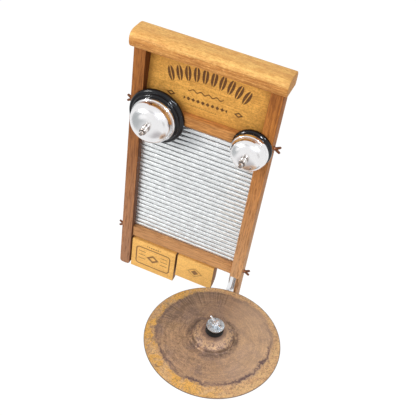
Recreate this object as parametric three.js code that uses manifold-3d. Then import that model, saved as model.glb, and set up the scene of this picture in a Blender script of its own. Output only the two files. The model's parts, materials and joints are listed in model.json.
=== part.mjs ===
// Wooden washboard (frottoir) with two call bells, two wood blocks and a splash cymbal.
// Millimetres. The finished part stands upright: +Z up the board, the playing side faces -Y, +X to the right.
// Inside the board group the axes are x to the right, y up the board and z out of the playing side,
// with the origin at the middle of the middle rail's back face.

import * as THREE from "three";
import { mergeVertices } from "three/addons/utils/BufferGeometryUtils.js";
import Module from "manifold-3d";

const wasm = await Module();
wasm.setup();

// Frame
const boardWidth = 219;
const boardDepth = 25;
const stileWidth = 18.5;
const edgeBevel = 1.2;
const middleRailHeight = 17;
const headOpening = 82.5;
const sheetOpening = 236.9;
const lowerRailHeight = 20;
const lowerRailDepth = 21;
const legLength = 69.6;
const legEndRadius = 6;
const jointGap = 0.3;
const cutOverrun = 2;

// Cap rail
const capOverhang = 4.5;
const capHeight = 25;
const capFrontReach = 8.5;
const capBackReach = 11.3;
const capDowelRadius = 3;
const capDowelLength = 20;
const dowelInset = 8.5;

// Head panel
const panelThickness = 5;
const panelTuck = 4.5;
const panelFootTuck = 2.2;
const panelHeadTuck = 4;
const panelLeanDegrees = 6;
const panelFootSetback = 11;

// Rub sheet
const ribPitch = 8.5;
const ribHeight = 3;
const sheetThickness = 1;
const sheetTuck = 5.3;
const sheetEndTuck = 2.2;
const sheetCentreDepth = 10.5;

// Wing screws through the stiles into threaded inserts in the rail ends
const wingScrewDepth = 12.5;
const upperWingDrop = 2;
const lowerWingDrop = 10.6;
const wingShankRadius = 2;
const wingCollarRadius = 3.6;
const wingCollarLength = 3.8;
const wingSpread = 6.2;
const wingReach = 7.6;
const wingThickness = 2.2;
const insertRadius = 3;
const insertLength = 8.6;
const threadClearance = 0.3;

// Call bells; each stands on the face of the board with its axis square to it
const bells = {
  left: {
    side: -1,
    edgeInset: 44.5,
    y: -6.5,
    baseRadius: 43.7,
    baseRimHeight: 6.2,
    baseStepRadius: 38.2,
    baseHeight: 10.1,
    rimRadius: 34.4,
    domeRadius: 32.8,
    domeSkirt: 3.2,
    domeHeight: 23.5,
    domeFullness: 3,
    screwSpan: 30,
    pivotOffset: 9,
    hammerOffset: 25.5,
    hammerRise: 6,
    buttonHeight: 17.2,
  },
  right: {
    side: 1,
    edgeInset: 27.2,
    y: -3.8,
    baseRadius: 29.8,
    baseRimHeight: 6.6,
    baseStepRadius: 27.9,
    baseHeight: 10.8,
    rimRadius: 27.7,
    domeRadius: 26.4,
    domeSkirt: 3,
    domeHeight: 18.2,
    domeFullness: 2.9,
    screwSpan: 32,
    pivotOffset: 9,
    hammerOffset: 18.5,
    hammerRise: 5,
    buttonHeight: 18.2,
  },
};
const baseEdgeEase = 1.7;
const bellScrewCover = 2;
const domeWall = 1.2;
const domeRimGap = 0.4;
const domeRimEdge = 2.4;
const bellScrewHeight = 3;
const bellScrewRadius = 1.6;
const bellScrewHeadRadius = 3.1;
const bellScrewHeadHeight = 2;
const bellScrewSink = 2.4;
const postRadius = 4.5;
const postCollarRadius = 6.4;
const postCollarHeight = 2;
const postWall = 0.7;
const postNeckRise = 10.3;
const springLedgeRise = 4.4;
const rodRadius = 1.8;
const rodClearance = 0.4;
const buttonRadius = 2.9;
const buttonFlangeRadius = 3.5;
const buttonFlangeHeight = 1.3;
const buttonSkirt = 5;
const nutWall = 0.8;
const nutLip = 0.9;
const springWireRadius = 0.4;
const springRadius = 2.6;
const springTurns = 8;
const plungerTravel = 3.6;
const pivotHeight = 6;
const leverThickness = 2;
const leverWidth = 4;
const leverTail = 2.4;
const hammerRadius = 3;
const pivotBossRadius = 2.5;
const pinRadius = 1;
const earThickness = 1.6;
const earRadius = 2.6;

// Wood blocks under the lower rail
const blocks = {
  left: { height: 66, top: 5.6 },
  right: { width: 66.4, height: 50.5, top: 3.6 },
};
const blockStileGap = 1.7;
const blockSpacing = 3.5;
const blockLegRoom = 28.8;
const blockScrewShare = 0.52;
const blockDepth = 23;
const blockFrontSetback = 3;
const blockBackRadius = 15;
const blockFrontRadius = 2;
const blockTopWall = 12;
const blockEndWall = 8;
const slotWidth = 8;
const blockScrewRadius = 1.8;
const blockScrewHeadRadius = 3.3;
const blockScrewHeadHeight = 2.2;
const blockScrewBite = 9;
const spacerRadius = 5;

// Cymbal arm: a bent tube seated in a notch of the right leg
const armTubeRadius = 9;
const armTubeWall = 1.5;
const armSeatCheek = 2.7;
const armSeatBack = 3.7;
const armSeatDrop = 0.8;
const armBendRadius = 27;
const armRunHeight = -319;
const armScrewRadius = 1.6;
const armScrewHeadRadius = 3.3;
const armScrewHeadHeight = 1.8;
const armScrewLength = 8;
const armScrewPitch = 12;
const armScrewDrop = 8;

// Cymbal and its stack
const cymbalOverhang = 7.2;
const cymbalDepth = 167;
const cymbalHeight = -253.7;
const cymbalLeanDegrees = 1.8;
const cymbalRadius = 101.6;
const cymbalThickness = 1;
const cupRadius = 32;
const cupHeight = 13;
const bowHeight = 7;
const bowBulgeShare = 0.125;
const cymbalHoleRadius = 5.5;
const postStudRadius = 3.6;
const postPlugDepth = 12;
const postFlangeHeight = 2.4;
const lockNutRadius = 7;
const lockNutHeight = 5;
const lowerWasherRadius = 12;
const lowerWasherHeight = 1.6;
const lowerFeltRadius = 11;
const lowerFeltHeight = 5;
const upperFeltRadius = 13.3;
const upperFeltHeight = 10.8;
const topWasherRadius = 13.2;
const topWasherHeight = 2;
const wingNutHubRadius = 5.6;
const wingNutHubHeight = 4.4;
const wingNutReach = 14.5;
const wingNutRise = 2.4;
const wingNutThickness = 2.4;
const wingNutTurnDegrees = 149;
const studRise = 2.5;

// Colours and finishes of the pieces
const stileWood = { color: 0xb0703a, roughness: 0.55, metalness: 0 };
const oakWood = { color: 0xdea555, roughness: 0.6, metalness: 0 };
const blockWood = { color: 0xf2bd66, roughness: 0.6, metalness: 0 };
const zinc = { color: 0xd4d7d8, roughness: 0.35, metalness: 1 };
const chrome = { color: 0xe8e8ea, roughness: 0.08, metalness: 1 };
const steel = { color: 0xb9bbbd, roughness: 0.3, metalness: 1 };
const blackEnamel = { color: 0x0b0b0d, roughness: 0.15, metalness: 0 };
const agedBrass = { color: 0x5c3a26, roughness: 0.4, metalness: 1 };
const bronze = { color: 0x8a6a45, roughness: 0.45, metalness: 1 };
const blackFelt = { color: 0x101012, roughness: 0.95, metalness: 0 };
const greyRubber = { color: 0x2a2a2c, roughness: 0.8, metalness: 0 };

// Places worked out from the sizes above
const halfWidth = boardWidth / 2;
const innerHalf = halfWidth - stileWidth;
const stileCentre = halfWidth - stileWidth / 2;
const railHalf = middleRailHeight / 2;
const capBottom = railHalf + headOpening;
const lowerRailTop = -railHalf - sheetOpening;
const lowerRailBottom = lowerRailTop - lowerRailHeight;
const legBottom = lowerRailBottom - legLength;
const wingHeights = { upper: -upperWingDrop, lower: lowerRailTop - lowerWingDrop };
const armTubeX = halfWidth - armSeatCheek - jointGap - armTubeRadius;
const armTubeDepth = armSeatBack + jointGap + armTubeRadius;
const armSeatTop = lowerRailBottom - armSeatDrop;
const weldDistance = 1e-4;
const cymbalX = halfWidth + cymbalOverhang;
for (const bell of Object.values(bells)) bell.x = bell.side * (halfWidth - bell.edgeInset);

// The left block fills what the right one and the room beside the right leg leave
blocks.right.x = innerHalf - blockLegRoom - blocks.right.width / 2;
blocks.left.width = 2 * innerHalf - blockLegRoom - blocks.right.width - blockSpacing - blockStileGap;
blocks.left.x = -innerHalf + blockStileGap + blocks.left.width / 2;

// Smoothness of round work
const roundSteps = 24;
const bellRoundSteps = 28;
const wideRoundSteps = 36;
const smallRoundSteps = 12;
const postRoundSteps = 16;
const hexSteps = 6;
const cornerSteps = 3;
const smallCornerSteps = 2;
const bevelSteps = 2;
const tubeCornerSteps = 7;
const tubeRunSteps = 26;
const domeSteps = 7;
const bowSteps = 4;
const cupSteps = 5;

const board = new THREE.Group();
board.rotation.x = Math.PI / 2;

// Geometry and solids

function weldedMesh(geometry) {
  const bare = new THREE.BufferGeometry();
  bare.setAttribute("position", geometry.getAttribute("position"));
  if (geometry.index) bare.setIndex(geometry.index);
  const welded = mergeVertices(bare, weldDistance);
  const kept = [];
  for (let i = 0; i < welded.index.count; i += 3) {
    const [a, b, c] = [0, 1, 2].map((k) => welded.index.getX(i + k));
    if (a !== b && b !== c && a !== c) kept.push(a, b, c);
  }
  return new wasm.Mesh({
    numProp: 3,
    vertProperties: welded.attributes.position.array,
    triVerts: new Uint32Array(kept),
  });
}

function solidOf(geometry) {
  return new wasm.Manifold(weldedMesh(geometry));
}

function geometryOf(solid) {
  const mesh = solid.getMesh();
  const geometry = new THREE.BufferGeometry();
  geometry.setAttribute("position", new THREE.BufferAttribute(mesh.vertProperties, 3));
  geometry.setIndex(new THREE.BufferAttribute(mesh.triVerts, 1));
  geometry.computeVertexNormals();
  return geometry;
}

function addPiece(name, solid, finish, parent = board) {
  const mesh = new THREE.Mesh(geometryOf(solid), new THREE.MeshStandardMaterial(finish));
  mesh.name = name;
  parent.add(mesh);
  return mesh;
}

function box(lowX, highX, lowY, highY, lowZ, highZ) {
  const geometry = new THREE.BoxGeometry(highX - lowX, highY - lowY, highZ - lowZ);
  geometry.translate((lowX + highX) / 2, (lowY + highY) / 2, (lowZ + highZ) / 2);
  return solidOf(geometry);
}

function turned(profile, steps = roundSteps) {
  const points = profile.map(([radius, height]) => new THREE.Vector2(radius, height));
  const geometry = new THREE.LatheGeometry(points, steps);
  geometry.rotateX(Math.PI / 2);
  const solid = solidOf(geometry);
  return solid.volume() < 0 ? turned([...profile].reverse(), steps) : solid;
}

function rod(radius, low, high, steps = smallRoundSteps) {
  return turned([[0, low], [radius, low], [radius, high], [0, high]], steps);
}

function ring(innerRadius, outerRadius, low, high, steps = roundSteps) {
  const profile = [
    [innerRadius, low],
    [outerRadius, low],
    [outerRadius, high],
    [innerRadius, high],
    [innerRadius, low],
  ];
  return turned(profile, steps);
}

function alongX(solid) {
  return solid.rotate([0, 90, 0]);
}

function alongY(solid) {
  return solid.rotate([-90, 0, 0]);
}

function extruded(shape, depth, bevel = 0, steps = cornerSteps) {
  const geometry = new THREE.ExtrudeGeometry(shape, {
    depth: depth - 2 * bevel,
    curveSegments: steps,
    bevelEnabled: bevel > 0,
    bevelThickness: bevel,
    bevelSize: bevel,
    bevelOffset: -bevel,
    bevelSegments: bevelSteps,
  });
  geometry.translate(0, 0, bevel);
  return solidOf(geometry);
}

// A closed outline through corners [x, y, radius], each rounded by its own radius.
function roundedShape(corners) {
  const shape = new THREE.Shape();
  corners.forEach(([x, y, radius], i) => {
    const corner = new THREE.Vector2(x, y);
    const before = corners[(i + corners.length - 1) % corners.length];
    const after = corners[(i + 1) % corners.length];
    const entry = new THREE.Vector2(before[0] - x, before[1] - y).setLength(radius).add(corner);
    const exit = new THREE.Vector2(after[0] - x, after[1] - y).setLength(radius).add(corner);
    if (i === 0) shape.moveTo(entry.x, entry.y);
    else shape.lineTo(entry.x, entry.y);
    if (radius > 0) shape.quadraticCurveTo(x, y, exit.x, exit.y);
  });
  shape.closePath();
  return shape;
}

// An outline drawn in depth (first number) and height (second), swept across the board from lowX to highX.
function sweptAcross(shape, lowX, highX, bevel, steps) {
  const solid = extruded(shape, highX - lowX, bevel, steps);
  return solid.rotate([0, -90, 0]).mirror([1, 0, 0]).translate([lowX, 0, 0]);
}

// Frame pieces

function headPanelSolid(clearance) {
  const lean = THREE.MathUtils.degToRad(panelLeanDegrees);
  const bottom = railHalf - panelFootTuck - clearance;
  const top = capBottom + panelHeadTuck + clearance;
  const side = innerHalf + panelTuck + clearance;
  const height = (top - bottom) / Math.cos(lean);
  const geometry = new THREE.BoxGeometry(2 * side, height, panelThickness + 2 * clearance);
  geometry.translate(0, height / 2, -panelThickness / 2);
  geometry.rotateX(-lean);
  const footDepth = boardDepth - panelFootSetback;
  const lift = bottom + (panelThickness * Math.sin(lean)) / 2;
  geometry.translate(0, lift, footDepth + (railHalf - bottom) * Math.tan(lean));
  return solidOf(geometry);
}

function sheetEdgeGroove(side) {
  const inner = side < 0 ? -innerHalf - sheetTuck - jointGap : innerHalf - cutOverrun;
  const outer = side < 0 ? -innerHalf + cutOverrun : innerHalf + sheetTuck + jointGap;
  const half = (ribHeight + sheetThickness) / 2 + jointGap;
  return box(
    inner,
    outer,
    lowerRailTop - sheetEndTuck - jointGap,
    -railHalf + sheetEndTuck + jointGap,
    sheetCentreDepth - half,
    sheetCentreDepth + half,
  );
}

function sheetEndGroove(mouth, inward) {
  const half = (ribHeight + sheetThickness) / 2 + jointGap;
  const bottom = mouth + inward * (sheetEndTuck + jointGap);
  const open = mouth - inward * cutOverrun;
  return box(
    -innerHalf - cutOverrun,
    innerHalf + cutOverrun,
    Math.min(bottom, open),
    Math.max(bottom, open),
    sheetCentreDepth - half,
    sheetCentreDepth + half,
  );
}

function wingHole(side, height) {
  const outer = side * (halfWidth + cutOverrun);
  const inner = side * (innerHalf - cutOverrun);
  const hole = rod(wingShankRadius + threadClearance, Math.min(outer, inner), Math.max(outer, inner));
  return alongX(hole).translate([0, height, wingScrewDepth]);
}

function insertHole(side, height) {
  const outer = side * (innerHalf + cutOverrun);
  const inner = side * (innerHalf - insertLength - 2 * jointGap);
  const hole = rod(insertRadius + jointGap, Math.min(outer, inner), Math.max(outer, inner));
  return alongX(hole).translate([0, height, wingScrewDepth]);
}

function bellScrewPlaces(bell) {
  return [-1, 1].map((side) => bell.x + (side * bell.screwSpan) / 2);
}

function cutBellScrewHoles(solid) {
  let cut = solid;
  for (const bell of Object.values(bells)) {
    for (const x of bellScrewPlaces(bell)) {
      const hole = rod(bellScrewRadius + threadClearance, -cutOverrun, boardDepth + cutOverrun);
      const seat = rod(bellScrewHeadRadius + jointGap, -cutOverrun, bellScrewSink);
      cut = cut.subtract(hole.add(seat).translate([x, bellScrewHeight, 0]));
    }
  }
  return cut;
}

function dowelPlace(side) {
  return side * (halfWidth - dowelInset);
}

function dowelHole(side) {
  const half = capDowelLength / 2 + jointGap;
  const hole = alongY(rod(capDowelRadius + jointGap, -half, half));
  return hole.translate([dowelPlace(side), capBottom, boardDepth / 2]);
}

function stile(side) {
  const outer = side * halfWidth;
  const inner = side * innerHalf;
  const top = capBottom - jointGap;
  const corners = [
    [Math.min(outer, inner), legBottom, legEndRadius],
    [Math.max(outer, inner), legBottom, legEndRadius],
    [Math.max(outer, inner), top, 0],
    [Math.min(outer, inner), top, 0],
  ];
  let solid = extruded(roundedShape(corners), boardDepth, edgeBevel);
  solid = solid.subtract(headPanelSolid(jointGap));
  solid = solid.subtract(sheetEdgeGroove(side));
  solid = solid.subtract(wingHole(side, wingHeights.upper)).subtract(wingHole(side, wingHeights.lower));
  solid = solid.subtract(dowelHole(side));
  return cutBellScrewHoles(solid);
}

function armSeatCut() {
  return box(
    innerHalf - cutOverrun,
    halfWidth - armSeatCheek,
    legBottom - cutOverrun,
    armSeatTop,
    armSeatBack,
    boardDepth + cutOverrun,
  );
}

function rail(bottom, top, depth) {
  const reach = innerHalf - jointGap;
  const corners = [
    [-reach, bottom, 0],
    [reach, bottom, 0],
    [reach, top, 0],
    [-reach, top, 0],
  ];
  return extruded(roundedShape(corners), depth, edgeBevel, 1);
}

function capRail() {
  const back = -capBackReach;
  const front = boardDepth + capFrontReach;
  const bottom = capBottom;
  const top = capBottom + capHeight;
  const cornerShares = { frontFoot: 0.79, crownFront: 0.63, crownBack: 0.32, shoulder: 0.5, heel: 0.16 };
  const depth = front - back;
  const at = (share) => back + depth * share;
  const up = (share) => bottom + capHeight * share;
  const shape = new THREE.Shape();
  shape.moveTo(at(cornerShares.heel / 2), bottom);
  shape.lineTo(at(cornerShares.frontFoot), bottom);
  shape.quadraticCurveTo(front, bottom, front, up(cornerShares.shoulder));
  shape.quadraticCurveTo(front, top, at(cornerShares.crownFront), top);
  shape.lineTo(at(cornerShares.crownBack), top);
  shape.quadraticCurveTo(back, top, back, up(cornerShares.shoulder));
  shape.lineTo(back, up(cornerShares.heel));
  shape.quadraticCurveTo(back, bottom, at(cornerShares.heel / 2), bottom);
  const reach = halfWidth + capOverhang;
  let solid = sweptAcross(shape, -reach, reach, edgeBevel, cornerSteps + 1);
  solid = solid.subtract(headPanelSolid(jointGap));
  return solid.subtract(dowelHole(-1)).subtract(dowelHole(1));
}

function rubSheet() {
  const waveShares = [
    [0, 0],
    [0.1, 0.42],
    [0.28, 0.9],
    [0.5, 1],
    [0.72, 0.9],
    [0.9, 0.42],
  ];
  const bottom = lowerRailTop - sheetEndTuck;
  const top = -railHalf + sheetEndTuck;
  const ribs = Math.floor((top - bottom) / ribPitch);
  const wave = [];
  for (let i = 0; i < ribs; i += 1) {
    for (const [along, rise] of waveShares) {
      wave.push([bottom + (i + along) * ribPitch, (rise - 1 / 2) * ribHeight]);
    }
  }
  wave.push([bottom + ribs * ribPitch, -ribHeight / 2], [top, -ribHeight / 2]);
  const face = (side) => wave.map(([y, z]) => {
    return new THREE.Vector2(sheetCentreDepth + z + (side * sheetThickness) / 2, y);
  });
  const front = face(1);
  const back = face(-1).reverse();
  const reach = innerHalf + sheetTuck;
  return sweptAcross(new THREE.Shape([...front, ...back]), -reach, reach, 0);
}

function frame() {
  addPiece("cap_rail", capRail(), oakWood);
  addPiece("left_stile", stile(-1), stileWood);
  addPiece("right_stile", drillLegForArm(stile(1).subtract(armSeatCut())), stileWood);
  addPiece("head_panel", headPanelSolid(0), oakWood);
  let middle = rail(-railHalf, railHalf, boardDepth).subtract(headPanelSolid(jointGap));
  middle = middle.subtract(sheetEndGroove(-railHalf, 1));
  let lower = rail(lowerRailBottom, lowerRailTop, lowerRailDepth).subtract(sheetEndGroove(lowerRailTop, -1));
  for (const side of [-1, 1]) {
    middle = middle.subtract(insertHole(side, wingHeights.upper));
    lower = lower.subtract(insertHole(side, wingHeights.lower));
  }
  addPiece("middle_rail", cutBellScrewHoles(middle), stileWood);
  addPiece("lower_rail", cutBlockScrewHoles(lower), stileWood);
  addPiece("rub_sheet", rubSheet(), zinc);
  for (const [name, side] of [["left", -1], ["right", 1]]) {
    const dowel = alongY(rod(capDowelRadius, -capDowelLength / 2, capDowelLength / 2));
    addPiece(name + "_cap_dowel", dowel.translate([dowelPlace(side), capBottom, boardDepth / 2]), oakWood);
  }
}

// Wing screws and inserts

function wingOutline() {
  const foot = wingCollarLength - wingShankRadius;
  const tip = wingCollarLength + wingReach;
  const waist = wingShankRadius;
  const ease = waist / 2;
  return roundedShape([
    [foot, -waist, 0],
    [tip - waist, -wingSpread, ease],
    [tip, -wingSpread + waist, ease],
    [wingCollarLength + waist, 0, ease],
    [tip, wingSpread - waist, ease],
    [tip - waist, wingSpread, ease],
    [foot, waist, 0],
  ]);
}

function wingScrew() {
  const shankEnd = -(stileWidth + insertLength - jointGap);
  const collar = turned([
    [0, shankEnd],
    [wingShankRadius, shankEnd],
    [wingShankRadius, jointGap],
    [wingCollarRadius, jointGap],
    [wingShankRadius + jointGap, wingCollarLength],
    [0, wingCollarLength],
  ], smallRoundSteps);
  const wings = extruded(wingOutline(), wingThickness, 0, smallCornerSteps);
  return alongX(collar).add(wings.translate([0, 0, -wingThickness / 2]));
}

function wingScrews() {
  for (const [sideName, side] of [["left", -1], ["right", 1]]) {
    for (const [levelName, height] of Object.entries(wingHeights)) {
      const screw = side > 0 ? wingScrew() : wingScrew().rotate([0, 180, 0]);
      const place = [side * halfWidth, height, wingScrewDepth];
      addPiece(sideName + "_" + levelName + "_wing_screw", screw.translate(place), agedBrass);
      const high = innerHalf - jointGap;
      const low = high - insertLength;
      const sleeve = ring(wingShankRadius + threadClearance, insertRadius, low, high, smallRoundSteps);
      const insert = alongX(sleeve).scale([side, 1, 1]).translate([0, height, wingScrewDepth]);
      addPiece(sideName + "_" + levelName + "_insert", insert, steel);
    }
  }
}

// Call bells; in the functions below z = 0 is the board's face and the axis is z

function bellLevels(bell) {
  const domeFoot = bell.baseHeight + domeRimGap;
  const crown = domeFoot + bell.domeSkirt + bell.domeHeight;
  const pivot = bell.baseHeight + pivotHeight;
  const neckTop = crown + postNeckRise;
  const nutTop = neckTop + jointGap + nutLip;
  const ledge = pivot + springLedgeRise;
  return { domeFoot, crown, pivot, neckTop, nutTop, ledge };
}

function bellBase(bell) {
  const ease = baseEdgeEase;
  const deck = bell.baseHeight;
  const profile = [
    [0, jointGap],
    [bell.baseRadius - ease / 2, jointGap],
    [bell.baseRadius, jointGap + ease / 2],
    [bell.baseRadius, bell.baseRimHeight - ease],
    [bell.baseRadius - ease / 2, bell.baseRimHeight - ease / 4],
    [bell.baseRadius - ease, bell.baseRimHeight],
    [bell.baseStepRadius, bell.baseRimHeight],
    [bell.baseStepRadius, deck - ease / 2],
    [bell.baseStepRadius - ease / 2, deck],
    [0, deck],
  ];
  let solid = turned(profile, bellRoundSteps);
  for (const x of bellScrewPlaces(bell)) {
    const hole = rod(bellScrewRadius + threadClearance, -cutOverrun, deck - bellScrewCover);
    solid = solid.subtract(hole.translate([x - bell.x, bellScrewHeight - bell.y, 0]));
  }
  const { pivot } = bellLevels(bell);
  for (const side of [-1, 1]) {
    const gap = leverWidth / 2 + jointGap;
    const low = side < 0 ? -gap - earThickness : gap;
    const upright = box(
      bell.pivotOffset - earRadius,
      bell.pivotOffset + earRadius,
      low,
      low + earThickness,
      deck - ease / 2,
      pivot,
    );
    const eye = alongY(rod(earRadius, low, low + earThickness)).translate([bell.pivotOffset, 0, pivot]);
    solid = solid.add(upright).add(eye);
  }
  const pinReach = leverWidth / 2 + jointGap + earThickness + cutOverrun;
  const pinHole = alongY(rod(pinRadius + threadClearance, -pinReach, pinReach));
  return solid.subtract(pinHole.translate([bell.pivotOffset, 0, pivot]));
}

function bellPost(bell) {
  const { crown, pivot, neckTop, ledge } = bellLevels(bell);
  const seat = crown - domeWall - jointGap;
  const bore = postRadius - postWall;
  const guide = rodRadius + rodClearance;
  const profile = [
    [guide, bell.baseHeight + jointGap],
    [postRadius, bell.baseHeight + jointGap],
    [postRadius, seat - postCollarHeight],
    [postCollarRadius, seat - postCollarHeight],
    [postCollarRadius, seat],
    [postRadius, seat],
    [postRadius, neckTop],
    [bore, neckTop],
    [bore, ledge],
    [guide, ledge],
    [guide, bell.baseHeight + jointGap],
  ];
  const half = leverWidth / 2 + jointGap;
  const window = box(
    -leverTail - leverThickness,
    postRadius + cutOverrun,
    -half,
    half,
    pivot - leverThickness - plungerTravel - rodClearance,
    pivot + leverThickness + jointGap,
  );
  return turned(profile, postRoundSteps).subtract(window);
}

// Half of a dome's section, from the rim to the flat round the hole, level with the dome's top.
// A fullness of 2 is an ellipse and more is a squarer shoulder.
function domeArc(radius, height, foot, flatRadius, holeRadius, steps, fullness = 2) {
  const power = 2 / fullness;
  const end = Math.acos((flatRadius / radius) ** (1 / power));
  const points = [];
  for (let i = 0; i <= steps; i += 1) {
    const angle = (end * i) / steps;
    const rise = (Math.sin(angle) / Math.sin(end)) ** power;
    points.push([radius * Math.cos(angle) ** power, foot + height * rise]);
  }
  return [...points, [holeRadius, foot + height]];
}

function bellDome(bell) {
  const { domeFoot } = bellLevels(bell);
  const hole = postRadius + jointGap;
  const shoulder = domeFoot + bell.domeSkirt;
  const flat = postCollarRadius + jointGap;
  const full = bell.domeFullness;
  const inside = bell.domeRadius - domeWall;
  const outer = domeArc(bell.domeRadius, bell.domeHeight, shoulder, flat, hole, domeSteps, full);
  const inner = domeArc(inside, bell.domeHeight - domeWall, shoulder, flat, hole, domeSteps, full);
  const profile = [
    [bell.rimRadius - domeWall, domeFoot],
    [bell.rimRadius, domeFoot],
    [bell.rimRadius, domeFoot + domeRimEdge],
    ...outer,
    ...inner.reverse(),
    [bell.rimRadius - domeWall, domeFoot],
  ];
  return turned(profile, bellRoundSteps);
}

function domeNut(bell) {
  const { crown, neckTop, nutTop } = bellLevels(bell);
  const thread = postRadius + threadClearance;
  const outer = thread + nutWall;
  const lip = buttonRadius + jointGap;
  return turned([
    [thread, crown + jointGap],
    [outer, crown + jointGap],
    [outer, nutTop - nutLip],
    [outer - nutLip, nutTop],
    [lip, nutTop],
    [lip, neckTop + jointGap],
    [thread, neckTop + jointGap],
    [thread, crown + jointGap],
  ], postRoundSteps);
}

function bellPlunger(bell) {
  const { crown, pivot, neckTop } = bellLevels(bell);
  const flangeTop = neckTop;
  const flangeBottom = flangeTop - buttonFlangeHeight;
  const skirt = flangeBottom - buttonSkirt;
  const tip = crown + bell.buttonHeight;
  const foot = pivot + leverThickness / 2 + jointGap;
  return turned([
    [0, foot],
    [rodRadius / 2, foot + rodRadius / 4],
    [rodRadius, foot + rodRadius],
    [rodRadius, skirt],
    [buttonRadius, skirt],
    [buttonRadius, flangeBottom],
    [buttonFlangeRadius, flangeBottom],
    [buttonFlangeRadius, flangeTop],
    [buttonRadius, flangeTop],
    [buttonRadius, tip - rodRadius / 2],
    [buttonRadius - rodRadius / 2, tip],
    [0, tip],
  ], smallRoundSteps);
}

function returnSpring(bell) {
  const { neckTop, ledge } = bellLevels(bell);
  const low = ledge + jointGap + springWireRadius;
  const high = neckTop - buttonFlangeHeight - buttonSkirt - jointGap - springWireRadius;
  return helixTube(springRadius, springWireRadius, low, high, springTurns);
}

// A round wire wound from low to high, closed at both ends.
function helixTube(coilRadius, wireRadius, low, high, turns) {
  const stepsPerTurn = 8;
  const sides = 5;
  const steps = turns * stepsPerTurn;
  const positions = [];
  const pitchAngle = Math.atan2(high - low, turns * 2 * Math.PI * coilRadius);
  for (let i = 0; i <= steps; i += 1) {
    const angle = (2 * Math.PI * i) / stepsPerTurn;
    const height = low + ((high - low) * i) / steps;
    const outward = new THREE.Vector3(Math.cos(angle), Math.sin(angle), 0);
    const tangent = new THREE.Vector3(
      -Math.sin(angle) * Math.cos(pitchAngle),
      Math.cos(angle) * Math.cos(pitchAngle),
      Math.sin(pitchAngle),
    );
    const side = new THREE.Vector3().crossVectors(tangent, outward);
    for (let k = 0; k < sides; k += 1) {
      const turn = (2 * Math.PI * k) / sides;
      const point = outward.clone().multiplyScalar(coilRadius + wireRadius * Math.cos(turn));
      point.addScaledVector(side, wireRadius * Math.sin(turn));
      positions.push(point.x, point.y, point.z + height);
    }
  }
  const triangles = [];
  for (let i = 0; i < steps; i += 1) {
    for (let k = 0; k < sides; k += 1) {
      const a = i * sides + k;
      const b = i * sides + ((k + 1) % sides);
      triangles.push(a, b, a + sides, b, b + sides, a + sides);
    }
  }
  for (let k = 1; k + 1 < sides; k += 1) {
    const last = steps * sides;
    triangles.push(0, k + 1, k, last, last + k, last + k + 1);
  }
  const geometry = new THREE.BufferGeometry();
  geometry.setAttribute("position", new THREE.Float32BufferAttribute(positions, 3));
  geometry.setIndex(triangles);
  const solid = solidOf(geometry);
  if (solid.volume() > 0) return solid;
  geometry.setIndex(triangles.map((v, i) => triangles[i - (i % 3) + [0, 2, 1][i % 3]]));
  return solidOf(geometry);
}

function strikerLever(bell) {
  const { pivot } = bellLevels(bell);
  const half = leverThickness / 2;
  const rise = bell.hammerRise;
  const bend = (bell.pivotOffset + bell.hammerOffset) / 2;
  const shape = roundedShape([
    [-leverTail, -half, half],
    [bend, -half, half],
    [bell.hammerOffset, rise - half, 0],
    [bell.hammerOffset, rise + half, 0],
    [bend - half, half, half],
    [-leverTail, half, half],
  ]);
  const plate = extruded(shape, leverWidth, 0, smallCornerSteps);
  const bar = plate.rotate([90, 0, 0]).translate([0, leverWidth / 2, pivot]);
  const barrel = alongY(rod(pivotBossRadius, -leverWidth / 2, leverWidth / 2));
  const boss = barrel.translate([bell.pivotOffset, 0, pivot]);
  const ball = solidOf(new THREE.SphereGeometry(hammerRadius, smallRoundSteps, smallRoundSteps / 2));
  const hammer = ball.translate([bell.hammerOffset, 0, pivot + rise]);
  const eye = alongY(rod(pinRadius + threadClearance, -leverWidth, leverWidth));
  return bar.add(boss).add(hammer).subtract(eye.translate([bell.pivotOffset, 0, pivot]));
}

function strikerPin(bell) {
  const reach = leverWidth / 2 + jointGap + earThickness;
  return alongY(rod(pinRadius, -reach, reach)).translate([bell.pivotOffset, 0, bellLevels(bell).pivot]);
}

function bellScrew(bell) {
  const headTop = bellScrewSink - bellScrewHeadHeight - jointGap;
  const end = boardDepth + bell.baseHeight - bellScrewCover - jointGap;
  return turned([
    [0, headTop],
    [bellScrewHeadRadius, headTop],
    [bellScrewHeadRadius, bellScrewSink - jointGap],
    [bellScrewRadius, bellScrewSink - jointGap],
    [bellScrewRadius, end],
    [0, end],
  ], smallRoundSteps);
}

function callBell(side) {
  const bell = bells[side];
  const seat = new THREE.Group();
  seat.position.set(bell.x, bell.y, boardDepth);
  board.add(seat);
  addPiece(side + "_bell_base", bellBase(bell), blackEnamel, seat);
  addPiece(side + "_bell_post", bellPost(bell), steel, seat);
  addPiece(side + "_bell_dome", bellDome(bell), chrome, seat);
  addPiece(side + "_bell_dome_nut", domeNut(bell), chrome, seat);
  addPiece(side + "_bell_plunger", bellPlunger(bell), chrome, seat);
  addPiece(side + "_bell_spring", returnSpring(bell), steel, seat);
  addPiece(side + "_bell_striker", strikerLever(bell), steel, seat);
  addPiece(side + "_bell_striker_pin", strikerPin(bell), steel, seat);
  bellScrewPlaces(bell).forEach((x, i) => {
    addPiece(side + "_bell_screw_" + (i + 1), bellScrew(bell).translate([x, bellScrewHeight, 0]), steel);
  });
}

// Wood blocks

function blockScrewPlaces(block) {
  return [-1, 1].map((side) => block.x + (side * block.width * blockScrewShare) / 2);
}

function slotDepthPlace() {
  return boardDepth - blockFrontSetback - blockDepth / 2;
}

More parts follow.
